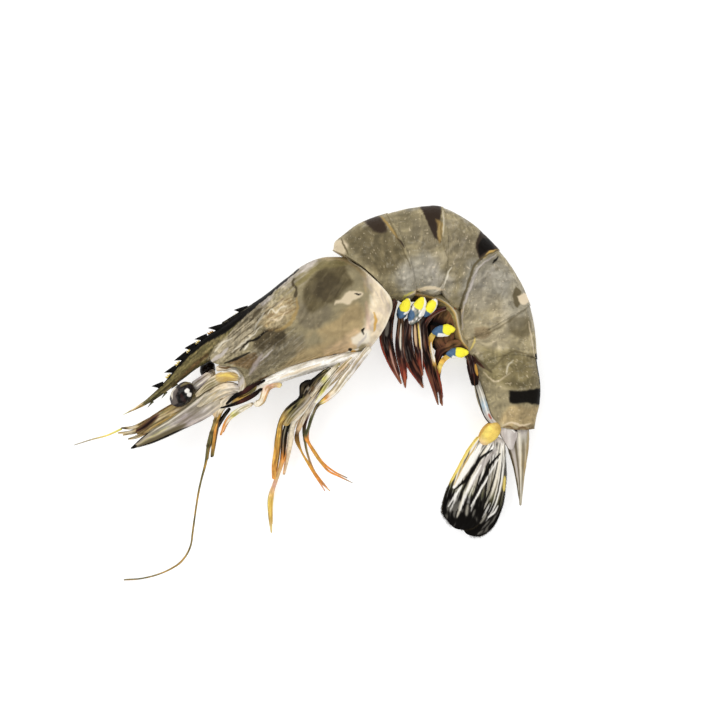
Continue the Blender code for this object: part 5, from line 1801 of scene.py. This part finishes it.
@dataclass
class Legs:
    """The mouth limbs and the five pairs of walking legs, which droop towards the table away from the body."""

    droop: float = 0.16
    droop_starts: float = 5.0
    right_shift: tuple = (-0.2, 0.1, 0)
    right_size: tuple = (1, 1, 0.9)
    right_length: float = 0.97

    def level(self, plan: Array, offset: float) -> Array:
        """A route of (x, y, half breadth) with the height that a leg has at each y."""
        heights = MID_HEIGHT + offset + self.droop * np.minimum(0, plan[:, 1] - self.droop_starts)
        return np.insert(plan, 2, heights, axis=1)

    def mouth(self) -> list[bpy.types.Object]:
        """The jaw feet, and the leaf-shaped mouth limbs behind them."""
        made = []
        for side, turn in SIDES:
            high = MID_HEIGHT + turn * 1.6
            jaw = (
                Limb(
                    raised((
                        (-25.5, -3.9, 0.66), (-26.7, -6.3, 0.78), (-27.3, -9.9, 0.72), (-28.5, -18.6, 0.39),
                    ), (high + turn, high)),
                    (
                        (0.0, Tone.CREAM), (0.18, Tone.AMBER), (0.4, Tone.ORANGE), (0.8, Tone.AMBER),
                        (0.95, Tone.OLIVE), (1.0, Tone.BLACK),
                    ),
                    (
                        Stripe(Tone.MOSS, (-0.85, -0.8), 0.3, (0.12, 0.8)),
                        Stripe(Tone.BROWN, (0.9, 0.85), 0.2, (0.1, 0.9)),
                    ),
                    (Brush(Tone.YELLOW, Tone.BROWN, 0.6, (3.0, 0.2)),),
                ),
                Limb(
                    raised((
                        (-23.1, -3.9, 0.48), (-24.9, -6.3, 0.6), (-27, -9.9, 0.54), (-29.7, -16.5, 0.54),
                        (-30, -19.5, 0.36),
                    ), (high - turn, high - turn)),
                    (
                        (0.0, Tone.BLACK), (0.35, Tone.BLACK), (0.42, Tone.TEAL), (0.6, Tone.BLACK), (0.8, Tone.TEAL),
                        (1.0, Tone.DRAB),
                    ),
                    brushes=(Brush(Tone.MIST, Tone.BLACK, 0.6, (3.0, 0.2)),),
                ),
            )
            made.append(limb_piece(f"jaw_foot_{side}", jaw, LEG_FINISH, "leg", f"maxilliped_{side}"))
            high = MID_HEIGHT + turn * 4.6
            dark = ((0.0, Tone.BLACK), (0.5, Tone.MAROON), (0.7, Tone.BLACK), (1.0, Tone.BLACK))
            leaf = (
                Limb(raised((
                    (-12.3, 4.5, 0.36), (-15.6, 3, 0.6), (-18.6, 1.2, 0.72), (-21.3, -0.3, 0.66), (-24, -2.7, 0.3),
                ), high), dark, flat=0.5),
                Limb(raised((
                    (-13.2, 2.1, 0.42), (-16.5, -0.3, 0.66), (-22.5, -3, 0.45), (-26.4, -3.9, 0.21),
                ), high - turn * 0.4), dark, flat=0.5),
                Limb(
                    raised(((-14.1, 2.7, 0.45), (-20.4, -0.9, 0.72), (-23.1, -2.4, 0.36)), high - turn * 0.8),
                    (Tone.OLIVE, Tone.DRAB, Tone.AMBER, Tone.SAND),
                    brushes=(Brush(Tone.GOLD, Tone.BLACK, 0.7, (3.0, 0.25)),), flat=0.5,
                ),
            )
            made.append(limb_piece(f"mouth_leaf_{side}", leaf, LEG_FINISH, "leg", f"mouth_limb_{side}"))
        return made

    def walking(self) -> list[bpy.types.Object]:
        """The walking legs; the right ones lie a little aside of the left ones and below them."""
        made = []
        for name, limbs in WALKING_LEGS.items():
            for side, turn in SIDES:
                parts = []
                for plan, offset, tones, stripes, brushes in limbs:
                    plan = np.asarray(plan)
                    if turn < 0:
                        shares = np.linspace(0, self.right_length, len(plan))
                        plan = along(plan * self.right_size + self.right_shift, shares)
                    parts.append(Limb(self.level(plan, turn * offset), tones, stripes, brushes, mottle=0.2))
                made.append(limb_piece(f"walking_{name}_{side}", tuple(parts), LEG_FINISH, "leg", f"{name}_{side}"))
        return made

    def build(self) -> list[bpy.types.Object]:
        """Makes the mouth limbs and the walking legs."""
        return [*self.mouth(), *self.walking()]


DARK_LEAF = ((0.0, Tone.MAROON), (0.25, Tone.WINE), (0.6, Tone.WINE), (0.85, Tone.MAROON), (1.0, Tone.RUST))
RED_LEAF = ((0.0, Tone.BROWN), (0.3, Tone.WINE), (0.65, Tone.MAROON), (0.85, Tone.RED), (1.0, Tone.RUST))
GOLD_LEAF = (
    (0.0, Tone.YELLOW), (0.15, Tone.AMBER), (0.35, Tone.CREAM), (0.45, Tone.AMBER), (0.55, Tone.WINE),
    (0.8, Tone.MAROON), (1.0, Tone.RUST),
)
RED_EDGE = Stripe(Tone.RED, (-0.9, -0.85), 0.14, (0.35, 1.0), 0.8, 0.15)
GREY_STRIPE = Stripe(Tone.SLATE, 0.1, 0.3, (0.24, 0.44), 0.7, 0.3)
WHITE_STRIPE = Stripe(Tone.BONE, 0.1, 0.2, (0.12, 0.5), 0.9, 0.2, 0.06)

# Each pair's base egg (centre, radii, turn), yellow, white and blue areas, and leaves (route, colours, stripes).
SWIMMING_PAIRS = (
    (
        (((29.1, 25.8),), (3.4, 1.7), 62),
        ((27.6, 26.7), (29.1, 29.7), (30.9, 28.5), (30.8, 25.8), (29.4, 24.9), (28.2, 25.2)),
        ((30, 29.7), (32.1, 28.8), (30.3, 24.3), (29.1, 24), (30.6, 26.7)),
        ((25.8, 26.1), (28.2, 26.1), (29.7, 23.7), (28.5, 21.3), (26.1, 21.9)),
        (
            (
                ((26.4, 28.5, 0.9), (24.3, 23.1, 1.8), (23.6, 17.1, 1.98), (25.2, 10.5, 1.38), (28.2, 3.3, 0.21)),
                DARK_LEAF, (RED_EDGE, GREY_STRIPE, Stripe(Tone.PINK, (0.3, 0.1), 0.2, (0.58, 0.92), 0.8)),
            ),
            (
                ((28.2, 24.3, 0.75), (27.9, 13.5, 1.44), (28.8, 7.5, 1.02), (29.4, 2.1, 0.18)), RED_LEAF,
                (WHITE_STRIPE,),
            ),
        ),
    ),
    (
        (((33, 25.2),), (4.6, 2.2), 64), ((32.1, 27.6), (33.3, 29.7), (35.1, 29.1), (33.9, 25.5), (32.4, 26.1)),
        ((34.8, 30.9), (36.6, 29.7), (36, 26.1), (34.8, 23.7), (33.6, 23.4), (35.1, 27.3)),
        ((30.3, 23.7), (31.2, 25.8), (32.1, 24.9), (31.8, 22.8), (30.6, 22.2)),
        (
            (
                ((30.6, 23.1, 1.02), (29.7, 17.1, 1.68), (30.6, 11.1, 1.86), (33, 6, 1.2), (34.8, 2.1, 0.18)),
                DARK_LEAF, (RED_EDGE, Stripe(Tone.BONE, (-0.85, -0.9), 0.14, (0.48, 0.56), 0.8)),
            ),
            (
                ((32.7, 23.1, 1.08), (33, 17.1, 1.32), (33.6, 11.7, 1.08), (34.5, 5.7, 0.27)), RED_LEAF,
                (
                    Stripe(Tone.PEACH, (-0.45, -0.4), 0.3, (0.1, 0.5), 0.9),
                    Stripe(Tone.YELLOW, (0.45, 0.5), 0.2, (0.08, 0.55), 0.9),
                    Stripe(Tone.WHITE, (0.75, 0.7), 0.12, (0.1, 0.95), 0.8),
                ),
            ),
        ),
    ),
    (
        (((36.9, 26.1),), (3.2, 1.6), 58), ((35.4, 26.7), (36.6, 28.8), (38.7, 27.9), (37.2, 24.6), (36, 25.2)),
        ((38.1, 29.1), (39.6, 27.6), (39.3, 25.2), (37.5, 23.7), (37.8, 25.8)),
        ((33.6, 24.9), (35.7, 25.5), (36.9, 24.3), (35.7, 22.2), (33.9, 22.5)),
        ((
            (
                (41.7, 26.1, 0.6), (38.1, 24.9, 1.08), (35.1, 21.9, 1.44), (34.8, 15.9, 1.56), (36.3, 8.7, 1.26),
                (38.1, 2.1, 0.78), (39.3, -3, 0.18),
            ),
            DARK_LEAF, (RED_EDGE, Stripe(Tone.RED, 0.2, 0.12, (0.02, 0.25), 0.6)),
        ),),
    ),
    (
        (((40.9, 19.3),), (3.6, 1.8), 8),
        ((40.8, 21.3), (42.3, 21.9), (44.7, 21.3), (44.7, 18.9), (43.2, 18.1), (41.1, 18.4)),
        ((39.3, 18.6), (41.4, 18.3), (43.5, 18.6), (44.7, 18), (42, 16.8), (39, 17.1)),
        ((36.9, 20.4), (38.7, 21.6), (40.9, 21.6), (40.9, 18.6), (36.9, 18)),
        ((
            ((38.1, 18.6, 0.78), (36.8, 16.2, 0.9), (37.5, 10.5, 0.96), (39.9, 1.2, 0.6), (40.5, -3.3, 0.18)),
            GOLD_LEAF,
            (Stripe(Tone.WHITE, 0.6, 0.25, (0.12, 0.42), 0.9), Stripe(Tone.RED, 0.8, 0.25, (0.5, 1.0), 0.8)),
        ),),
    ),
    (
        (((45, 12.6),), (3.4, 1.6), 6),
        ((44.7, 14.2), (46.2, 14.7), (48.3, 14.4), (48.3, 12), (46.5, 11.4), (44.9, 11.7)),
        ((43.8, 12), (46.2, 11.4), (48.3, 11.7), (47.7, 9.9), (45, 9.9), (43.2, 11.1)),
        ((42, 14.4), (44.9, 14.7), (44.9, 11.7), (43.2, 10.8), (42, 11.7)),
        (
            (
                ((42.9, 12, 0.72), (41, 10.6, 0.78), (39.3, 5.7, 0.6), (39.9, 0.9, 0.42), (40.2, -2.7, 0.18)),
                GOLD_LEAF[:2] + ((0.3, Tone.YELLOW), (0.4, Tone.AMBER), (0.5, Tone.RUST), (1.0, Tone.RED)), (),
            ),
            (
                ((48.9, 12, 0.9), (49.5, 8.7, 1.38), (50.1, 5.4, 1.32), (50.4, 2.7, 0.78)),
                ((0.0, Tone.WINE), (0.6, Tone.MAROON), (1.0, Tone.BLACK)),
                (Stripe(Tone.AMBER, (0.75, 0.8), 0.3, (0.3, 0.7), 0.9),),
            ),
        ),
    ),
)


@dataclass
class Swimmerets:
    """Five pairs of swimming limbs: a base joint with a yellow spot and a blue patch, and two dark leaves."""

    left_height: float = 5.2
    mid_heights: tuple = (11.0, 10.6, 10.0, 9.2, 8.4)
    base_height: float = 1.4
    right_shift: float = 0.5

    def pair_parts(self, number: int, turn: int) -> tuple:
        """The limbs and eggs of one swimming limb.

        Args:
            number: Which pair, from 0 at the head.
            turn: 1 on the left side, -1 on the right.

        Returns:
            Its parts.
        """
        (place, radii, slant), yellow, white, blue, leaves = SWIMMING_PAIRS[number]
        high = self.mid_heights[number] + turn * self.left_height * (1 - 0.07 * number)
        x, y = place[0]
        marks = (
            Patch(Tone.BLUE, 0.9, 0.4, blue),
            Patch(Tone.WHITE, 0.95, 0.3, white),
            Patch(Tone.LEMON, 1.0, 0.3, yellow),
        )
        mosaic = (Brush(Tone.WHITE, Tone.TEAL, 0.9, (1.2, 0.6), slant),)
        centre = (x, y, high + turn * 0.6)
        base = Egg(
            centre, (*radii, self.base_height), slant, Tone.SLATE, marks, mosaic, 1.35, roughness=0.3, mottle=0.3,
        )
        parts = [base]
        for order, (plan, tones, stripes) in enumerate(leaves):
            if turn < 0:
                plan = along(plan, np.linspace(0, 0.9, len(plan)))
                plan[:, 0] += self.right_shift * np.linspace(0, 1, len(plan))
            fringe = tuple(Fringe(edge, (0.35, 0.97), 0.45, 70, Tone.MAROON, 1.2, 0.05) for edge in (1, -1))
            pale = 0.45 if number > 2 and order == 0 else 0.0
            brushes = (
                Brush(Tone.RUST, Tone.BLACK, 0.55, (5.0, 0.4), lift=0.06, span=(pale, 1.0)),
                Brush(Tone.SLATE, Tone.BLACK, 0.4, (4.0, 0.2), span=(pale, 0.6)),
            )
            parts.append(Limb(
                raised(plan, high - turn * 0.5 * order), tones, stripes, brushes, (), fringe, flat=0.3, cup=0.06,
                mottle=0.25,
            ))
        return tuple(parts)

    def build(self) -> list[bpy.types.Object]:
        """Makes the ten swimming limbs."""
        made = []
        for number in range(len(SWIMMING_PAIRS)):
            for side, turn in SIDES:
                name = f"{number + 1}_{side}"
                parts = self.pair_parts(number, turn)
                made.append(limb_piece(f"swimmeret_{name}", parts, SWIM_FINISH, "swimming_limb", f"pleopod_{name}"))
        return made


@dataclass
class Belly:
    """The dark soft belly wall between the swimming limbs, and the pale strip under the last ring."""

    def build(self) -> list[bpy.types.Object]:
        """Makes the wall, which shows between the limbs, with its toothed fringe."""
        red = (Brush(Tone.RUST, Tone.WINE, 0.5, (3.0, 0.5), lift=0.1),)
        wall = Limb(
            raised((
                (27.3, 29.1, 1.5), (32.1, 29.7, 1.8), (36.6, 29.1, 2.1), (40.8, 27.6, 2.4), (43.8, 24.6, 2.55),
                (45, 20.1, 2.4), (46.2, 16.2, 2.4), (48.9, 12.9, 2.1), (51.6, 9.3, 1.5),
            ), (11.2, 10.4, 9.2, 8.0)),
            (
                (0.0, Tone.WINE), (0.3, Tone.BROWN), (0.4, Tone.DRAB), (0.55, Tone.DRAB), (0.75, Tone.BROWN),
                (1.0, Tone.SEPIA),
            ),
            (
                Stripe(Tone.CREAM, (0.5, 0.4), 0.25, (-0.1, 0.36), 0.8, 0.4),
                Stripe(Tone.GOLD, (0.15, 0.1), 0.14, (0.0, 0.36), 0.8, 0.3),
                Stripe(Tone.BLACK, -0.95, 0.12, (0.3, 0.9)),
                Stripe(Tone.SHELL, 0.8, 0.6, (0.1, 1.2), 1.0),
                Stripe(Tone.GOLD, 0.12, 0.12, (0.25, 0.95), 0.9),
                Stripe(Tone.BONE, (0.28, 0.2), 0.06, (0.3, 0.8), 0.8),
            ),
            (Brush(Tone.OCHRE, Tone.SEPIA, 0.4, (3.0, 0.5), lift=0.1),), (),
            (
                Fringe(-1, (0.4, 0.56), 0.9, 12, Tone.BLACK, 0.5, 0.22),
                Fringe(-1, (0.86, 0.95), 0.8, 8, Tone.BROWN, 0.3, 0.1),
            ),
            flat=1.2, mottle=0.3,
        )
        web = Limb(
            raised((
                (44.4, 27.3, 1.8), (41.7, 24.3, 3.6), (40.2, 20.1, 4.2), (40.8, 15.9, 3.6), (43.5, 11.7, 1.5),
            ), (12.0, 11.4, 10.6)),
            (
                (0.0, Tone.BROWN), (0.3, Tone.BROWN), (0.4, Tone.WINE), (0.65, Tone.BROWN), (0.85, Tone.MAROON),
                (1.0, Tone.BROWN),
            ),
            (Stripe(Tone.BLACK, -0.95, 0.2, (0.0, 1.0)), Stripe(Tone.BLACK, 0.0, 1.2, (0.4, 0.46), 0.9)), red,
            flat=0.3, mottle=0.3,
        )
        fold = Limb(
            raised(((46.5, 15.3, 1.5), (43.2, 14.7, 1.8), (40.5, 13.5, 1.62), (38.5, 8.4, 0.42)), (12.0, 10.8)),
            (Tone.BROWN, Tone.BROWN, Tone.MAROON, Tone.WINE), (Stripe(Tone.WINE, 0.9, 0.3, (0.0, 1.0)),), red,
            flat=0.3, mottle=0.3,
        )
        strip = Limb(
            raised(((51, 4.5, 0.9), (52.5, -0.3, 1.2), (55.5, -7.8, 1.08), (57.6, -9.6, 0.75)), (9.6, 8.4)),
            (
                (0.0, Tone.SLATE), (0.3, Tone.MIST), (0.5, Tone.SKY), (0.7, Tone.LILAC), (0.85, Tone.LILAC),
                (1.0, Tone.CREAM),
            ),
            (
                Stripe(Tone.BLACK, -0.95, 0.2, (0.0, 1.0)),
                Stripe(Tone.WHITE, 0.1, 0.14, (0.1, 0.8), 0.7),
                Stripe(Tone.SEPIA, 0.9, 0.15, (0.0, 0.9), 0.8),
                Stripe(Tone.RED, 0.3, 0.25, (0.66, 0.8), 0.8, 0.3),
            ),
            (Brush(Tone.BONE, Tone.SLATE, 0.5, (5.0, 0.25)),), flat=0.9,
        )
        return [
            limb_piece("belly_wall", (wall, web, fold), SWIM_FINISH, "soft_underside"),
            limb_piece("belly_strip", (strip,), SOFT_FINISH, "soft_underside"),
        ]


@dataclass
class TailFan:
    """The pointed telson, and on each side a yellow base joint with two dark, ribbed and fringed blades."""

    telson_plan: tuple = ((62.7, -8.4, 4.2), (63.4, -12.9, 3.75), (64.3, -24.3, 1.5), (64.5, -33.6, 0.24))
    base_plan: tuple = ((57.9, -8.7, 1.35), (56.1, -10.5, 2.4), (54, -12.9, 2.25), (52.5, -15, 1.2))
    exopod_plan: tuple = (
        (54.9, -12.6, 2.4), (51.9, -18, 3.6), (49.8, -24, 4.8), (48, -30, 5.85), (45.9, -38.1, 5.25),
        (45, -40.5, 3.6),
    )
    endopod_plan: tuple = (
        (57.9, -12.9, 1.8), (56.4, -26.7, 3.6), (54.6, -33, 4.5), (51.6, -37.8, 4.95), (48, -42, 2.7),
    )

    def blade(self, plan: tuple, heights: tuple, outer: bool) -> Limb:
        """One blade: white ribs on grey above, black with white streaks below, bristled round its end.

        Args:
            plan: Route of (x, y, half breadth).
            heights: Heights along it.
            outer: Whether it is the outer blade, with the yellow rim.

        Returns:
            The limb.
        """
        tones = (
            (0.0, Tone.LILAC), (0.1, Tone.WHITE), (0.35, Tone.MIST), (0.5, Tone.STONE), (0.6, Tone.MOSS),
            (0.68, Tone.BLACK), (1.0, Tone.BLACK),
        )
        brushes = (
            Brush(Tone.BONE, Tone.UMBER, 0.7, (9.0, 0.7), span=(0.05, 0.62), lift=0.08),
            Brush(Tone.WHITE, Tone.BLACK, 0.6, (7.0, 0.3), span=(0.05, 0.72), lift=0.06),
            # Painted sheen: grey strokes over the black end of the blade.
            Brush(Tone.SLATE, Tone.BLACK, 0.6, (4.0, 0.9), span=(0.66, 1.0), lift=0.1),
        )
        stripes = [
            Stripe(Tone.BLACK, (0.2, -0.35), 0.07, (0.05, 0.75), 0.95, 0.1, lift=-0.15),
            Stripe(Tone.BONE, (0.35, -0.05), 0.12, (0.06, 0.62), 0.9, 0.2, lift=0.15),
            Stripe(Tone.BLACK, (0.6, 0.25), 0.05, (0.1, 0.95), 0.95, 0.1, lift=-0.15),
            Stripe(Tone.WHITE, (0.72, 0.4), 0.05, (0.15, 0.8), 0.9, 0.1),
            Stripe(Tone.BLACK, (0.85, 0.6), 0.05, (0.2, 0.95), 0.95, 0.1, lift=-0.15),
            Stripe(Tone.WHITE, (-0.4, -0.6), 0.04, (0.55, 0.85), 0.9, 0.1, lift=0.1),
            Stripe(Tone.BONE, (-0.1, -0.2), 0.05, (0.6, 0.9), 0.9, 0.1, lift=0.1),
            Stripe(Tone.MIST, (0.2, 0.25), 0.07, (0.72, 0.85), 0.9, 0.15, lift=0.1),
            Stripe(Tone.BLACK, 1.0, 0.12, (0.1, 1.1), 0.95),
        ]
        marks = (
            Streak(Tone.WHITE, 0.92, 0.3, ((52.8, -14.7), (51, -17.7), (44.4, -27.9)), 1.08, lift=0.05),
            Streak(Tone.GOLD, 0.8, 0.2, ((51.6, -14.4), (46.2, -23.4), (44.4, -27.3))),
            Streak(Tone.BLACK, 0.95, 0.25, (
                (55.8, -16.8), (53.1, -18.6), (48, -25.8), (44.4, -28.8),
            ), 0.52, lift=-0.15),
            Streak(Tone.LILAC, 0.85, 0.4, ((57.6, -16.8), (54.9, -18.9), (48.9, -28.5)), 0.87, lift=0.1),
            Streak(Tone.WHITE, 0.9, 0.3, ((52.5, -21.3), (48.3, -29.4), (46.2, -35.1)), 0.44, lift=0.12),
            Streak(Tone.BLACK, 0.95, 0.25, ((58.5, -18), (56.1, -20.7), (49.2, -33.9)), 0.47, lift=-0.15),
            Streak(Tone.WHITE, 0.9, 0.25, ((58.5, -18.9), (54.3, -25.5), (49.5, -33.9)), 0.33, lift=0.1),
            Streak(Tone.WHITE, 0.85, 0.25, ((46.8, -27.6), (44.7, -30.6), (42.6, -33.9)), 0.34),
            Streak(Tone.WHITE, 0.9, 0.25, ((57.9, -33.9), (56.7, -36), (54.9, -37.5)), 0.32),
            Streak(Tone.WHITE, 0.8, 0.2, ((55.5, -33), (54.3, -35.4), (53.1, -37.8))),
        )
        if outer:
            stripes.append(Stripe(Tone.YELLOW, -1.0, 0.11, (-0.1, 0.6), 0.95, 0.1, 0.08))
            stripes.append(Stripe(Tone.BLACK, -1.0, 0.12, (0.6, 1.1), 0.9))
        else:
            stripes.append(Stripe(Tone.YELLOW, (0.85, 0.9), 0.14, (0.35, 0.5), 0.8, 0.15))
        fringes = (
            Fringe(1, (0.3, 0.99), 0.9, 150, Tone.SEPIA, 0.9, 0.06),
            Fringe(-1, (0.6 if outer else 0.4, 0.99), 0.9, 110, Tone.SEPIA, 0.9, 0.06),
        )
        return Limb(
            raised(plan, heights), tones, tuple(stripes), brushes, marks, fringes, flat=0.1, cup=0.06, blunt=1.0,
            mottle=0.2, wave=0.03,
        )

    def build(self) -> list[bpy.types.Object]:
        """Makes the telson and the four blades with their bases."""
        telson = Limb(
            raised(self.telson_plan, (7.2, 6.4, 5.8)),
            (
                (0.0, Tone.LILAC), (0.12, Tone.LILAC), (0.2, Tone.MIST), (0.5, Tone.TAN), (0.8, Tone.MIST),
                (1.0, Tone.UMBER),
            ),
            (
                Stripe(Tone.LILAC, (-0.5, -0.3), 0.4, (-0.1, 0.8), 0.9, 0.4),
                Stripe(Tone.BONE, (0.15, 0.1), 0.12, (0.05, 0.95), 0.8, lift=0.15),
                Stripe(Tone.UMBER, (-0.25, -0.2), 0.12, (0.1, 0.9), 0.8, lift=-0.12),
                Stripe(Tone.SEPIA, (-0.9, -0.85), 0.14, (0.15, 1.0)),
                Stripe(Tone.STONE, 0.5, 0.15, (0.2, 0.9), 0.7, lift=-0.1),
                Stripe(Tone.TAN, 0.9, 0.15, (0.1, 0.9), 0.7),
            ),
            (Brush(Tone.BONE, Tone.UMBER, 0.5, (8.0, 0.4), lift=0.08),), flat=0.3, wave=0.03,
        )
        made = [limb_piece("tail_spine", (telson,), SHELL_FINISH, "shell", "telson")]
        joint = (Tone.GOLD, Tone.YELLOW, Tone.YELLOW, Tone.PEACH)
        lines = (
            Stripe(Tone.AMBER, 0.4, 0.5, (0.0, 0.8), 0.25, 0.8),
            Stripe(Tone.AMBER, -0.95, 0.15, (0.0, 1.0), 0.8),
        )
        for side, base, outer, inner in (
            ("left", (8.6, 8.6), (8.9, 8.4, 7.6), (7.6, 7.0, 6.4)),
            ("right", (3.6, 3.6), (3.0, 3.4, 3.8), (5.0, 5.0, 4.9)),
        ):
            stub = Limb(raised(self.base_plan, base), joint, lines, flat=0.75)
            knuckle = Limb(
                raised(((59.7, -8.1, 2.4), (60.6, -10.5, 2.7), (61.5, -16.5, 0.6)), base),
                ((0.0, Tone.SLATE), (0.3, Tone.LILAC), (1.0, Tone.LILAC)),
                marks=(
                    Streak(Tone.BLACK, 0.9, 0.3, ((60.9, -9), (62.1, -9.9), (63.3, -11.1)), 0.4),
                    Streak(Tone.WHITE, 0.9, 0.3, ((60.6, -9.9), (61.5, -10.2), (62.7, -11.4)), 0.33),
                ),
                brushes=(Brush(Tone.WHITE, Tone.MAUVE, 0.3, (6.0, 1.0)),), flat=0.35, mottle=0.05,
            )
            made.append(limb_piece(f"tail_joint_{side}", (
                stub, knuckle,
            ), TAIL_FINISH, "tail_fan", f"uropod_base_{side}"))
            for name, leaf in (
                ("exopod", self.blade(self.exopod_plan, outer, True)),
                ("endopod", self.blade(self.endopod_plan, inner, False)),
            ):
                made.append(limb_piece(f"tail_{name}_{side}", (
                    leaf,
                ), TAIL_FINISH, "tail_fan", f"uropod_{name}_{side}"))
        return made


@dataclass
class Studio:
    """A pale floor, soft light from round about, and the camera that looks straight down."""

    floor_side: float = 6.0
    lamp_distance: float = 0.75
    lamp_side: float = 0.5
    lamp_watts: float = 1.25
    sky: float = 0.66
    floor_glow: float = 0.55
    floor_tone: float = 0.6
    lamps: tuple = (
        ("lamp_back_left", 125, 48, 1.5), ("lamp_back_right", 50, 45, 0.9), ("lamp_front_left", 215, 42, 0.9),
        ("lamp_front_right", 310, 42, 0.7),
    )

    def floor(self) -> None:
        """Lays the floor: a flat square just under the table height of the model."""
        side = self.floor_side / 2
        mesh = bpy.data.meshes.new("floor")
        mesh.from_pydata([(-side, -side, 0), (side, -side, 0), (side, side, 0), (-side, side, 0)], [], [(0, 1, 2, 3)])
        piece = bpy.data.objects.new("floor", mesh)
        bpy.context.scene.collection.objects.link(piece)
        material = bpy.data.materials.new("pale_floor")
        material.use_nodes = True
        surface = material.node_tree.nodes["Principled BSDF"]
        for name, value in (
            ("Base Color", (self.floor_tone, self.floor_tone, self.floor_tone, 1)), ("Emission Color", (1, 1, 1, 1)),
            ("Emission Strength", self.floor_glow), ("Roughness", 0.9), ("Specular IOR Level", 0.0),
        ):
            surface.inputs[name].default_value = value
        mesh.materials.append(material)

    def lamp(self, name: str, compass: float, climb: float, share: float) -> None:
        """Hangs one large square lamp that faces the prawn.

        Args:
            name: Name of the lamp.
            compass: Direction in degrees, from the model's +x towards +y.
            climb: Height above the table in degrees.
            share: Strength as a share of lamp_watts.
        """
        light = bpy.data.lights.new(name, "AREA")
        light.shape = "SQUARE"
        light.size = self.lamp_side
        light.energy = self.lamp_watts * share
        piece = bpy.data.objects.new(name, light)
        turn, rise = math.radians(compass), math.radians(climb)
        piece.location = (
            self.lamp_distance * math.cos(rise) * math.cos(turn),
            self.lamp_distance * math.cos(rise) * math.sin(turn),
            self.lamp_distance * math.sin(rise),
        )
        piece.rotation_euler = (math.pi / 2 - rise, 0, turn + math.pi / 2)
        bpy.context.scene.collection.objects.link(piece)

    def camera(self) -> None:
        """Hangs the camera over the curl, with its image's top towards +y."""
        lens = bpy.data.cameras.new("camera")
        lens.lens = 100.0
        lens.sensor_width = 36.0
        lens.clip_end = 20.0
        piece = bpy.data.objects.new("camera", lens)
        piece.location = (VIEW_CENTRE[0] * MM, VIEW_CENTRE[1] * MM, (MID_HEIGHT + VIEW_HEIGHT) * MM)
        bpy.context.scene.collection.objects.link(piece)
        bpy.context.scene.camera = piece

    def build(self) -> None:
        """Sets up floor, light, colour view and camera."""
        self.floor()
        for lamp in self.lamps:
            self.lamp(*lamp)
        world = bpy.data.worlds.new("sky")
        world.use_nodes = True
        sky = world.node_tree.nodes["Background"]
        sky.inputs["Color"].default_value = (1, 1, 1, 1)
        sky.inputs["Strength"].default_value = self.sky
        scene = bpy.context.scene
        scene.world = world
        scene.view_settings.view_transform = "Standard"
        scene.view_settings.look = "None"
        self.camera()


def main() -> None:
    """Builds the studio and every sub-assembly in order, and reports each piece."""
    logging.basicConfig(level=logging.INFO, format="%(name)s: %(message)s")
    Studio().build()
    for assembly in (Carapace(), Rostrum(), Abdomen(), Thorax(), Head(), Legs(), Swimmerets(), Belly(), TailFan()):
        pieces = assembly.build()
        faces = sum(len(piece.data.polygons) for piece in pieces)
        log.info("%s: %d pieces, %d faces", type(assembly).__name__, len(pieces), faces)


if __name__ == "__main__":
    main()
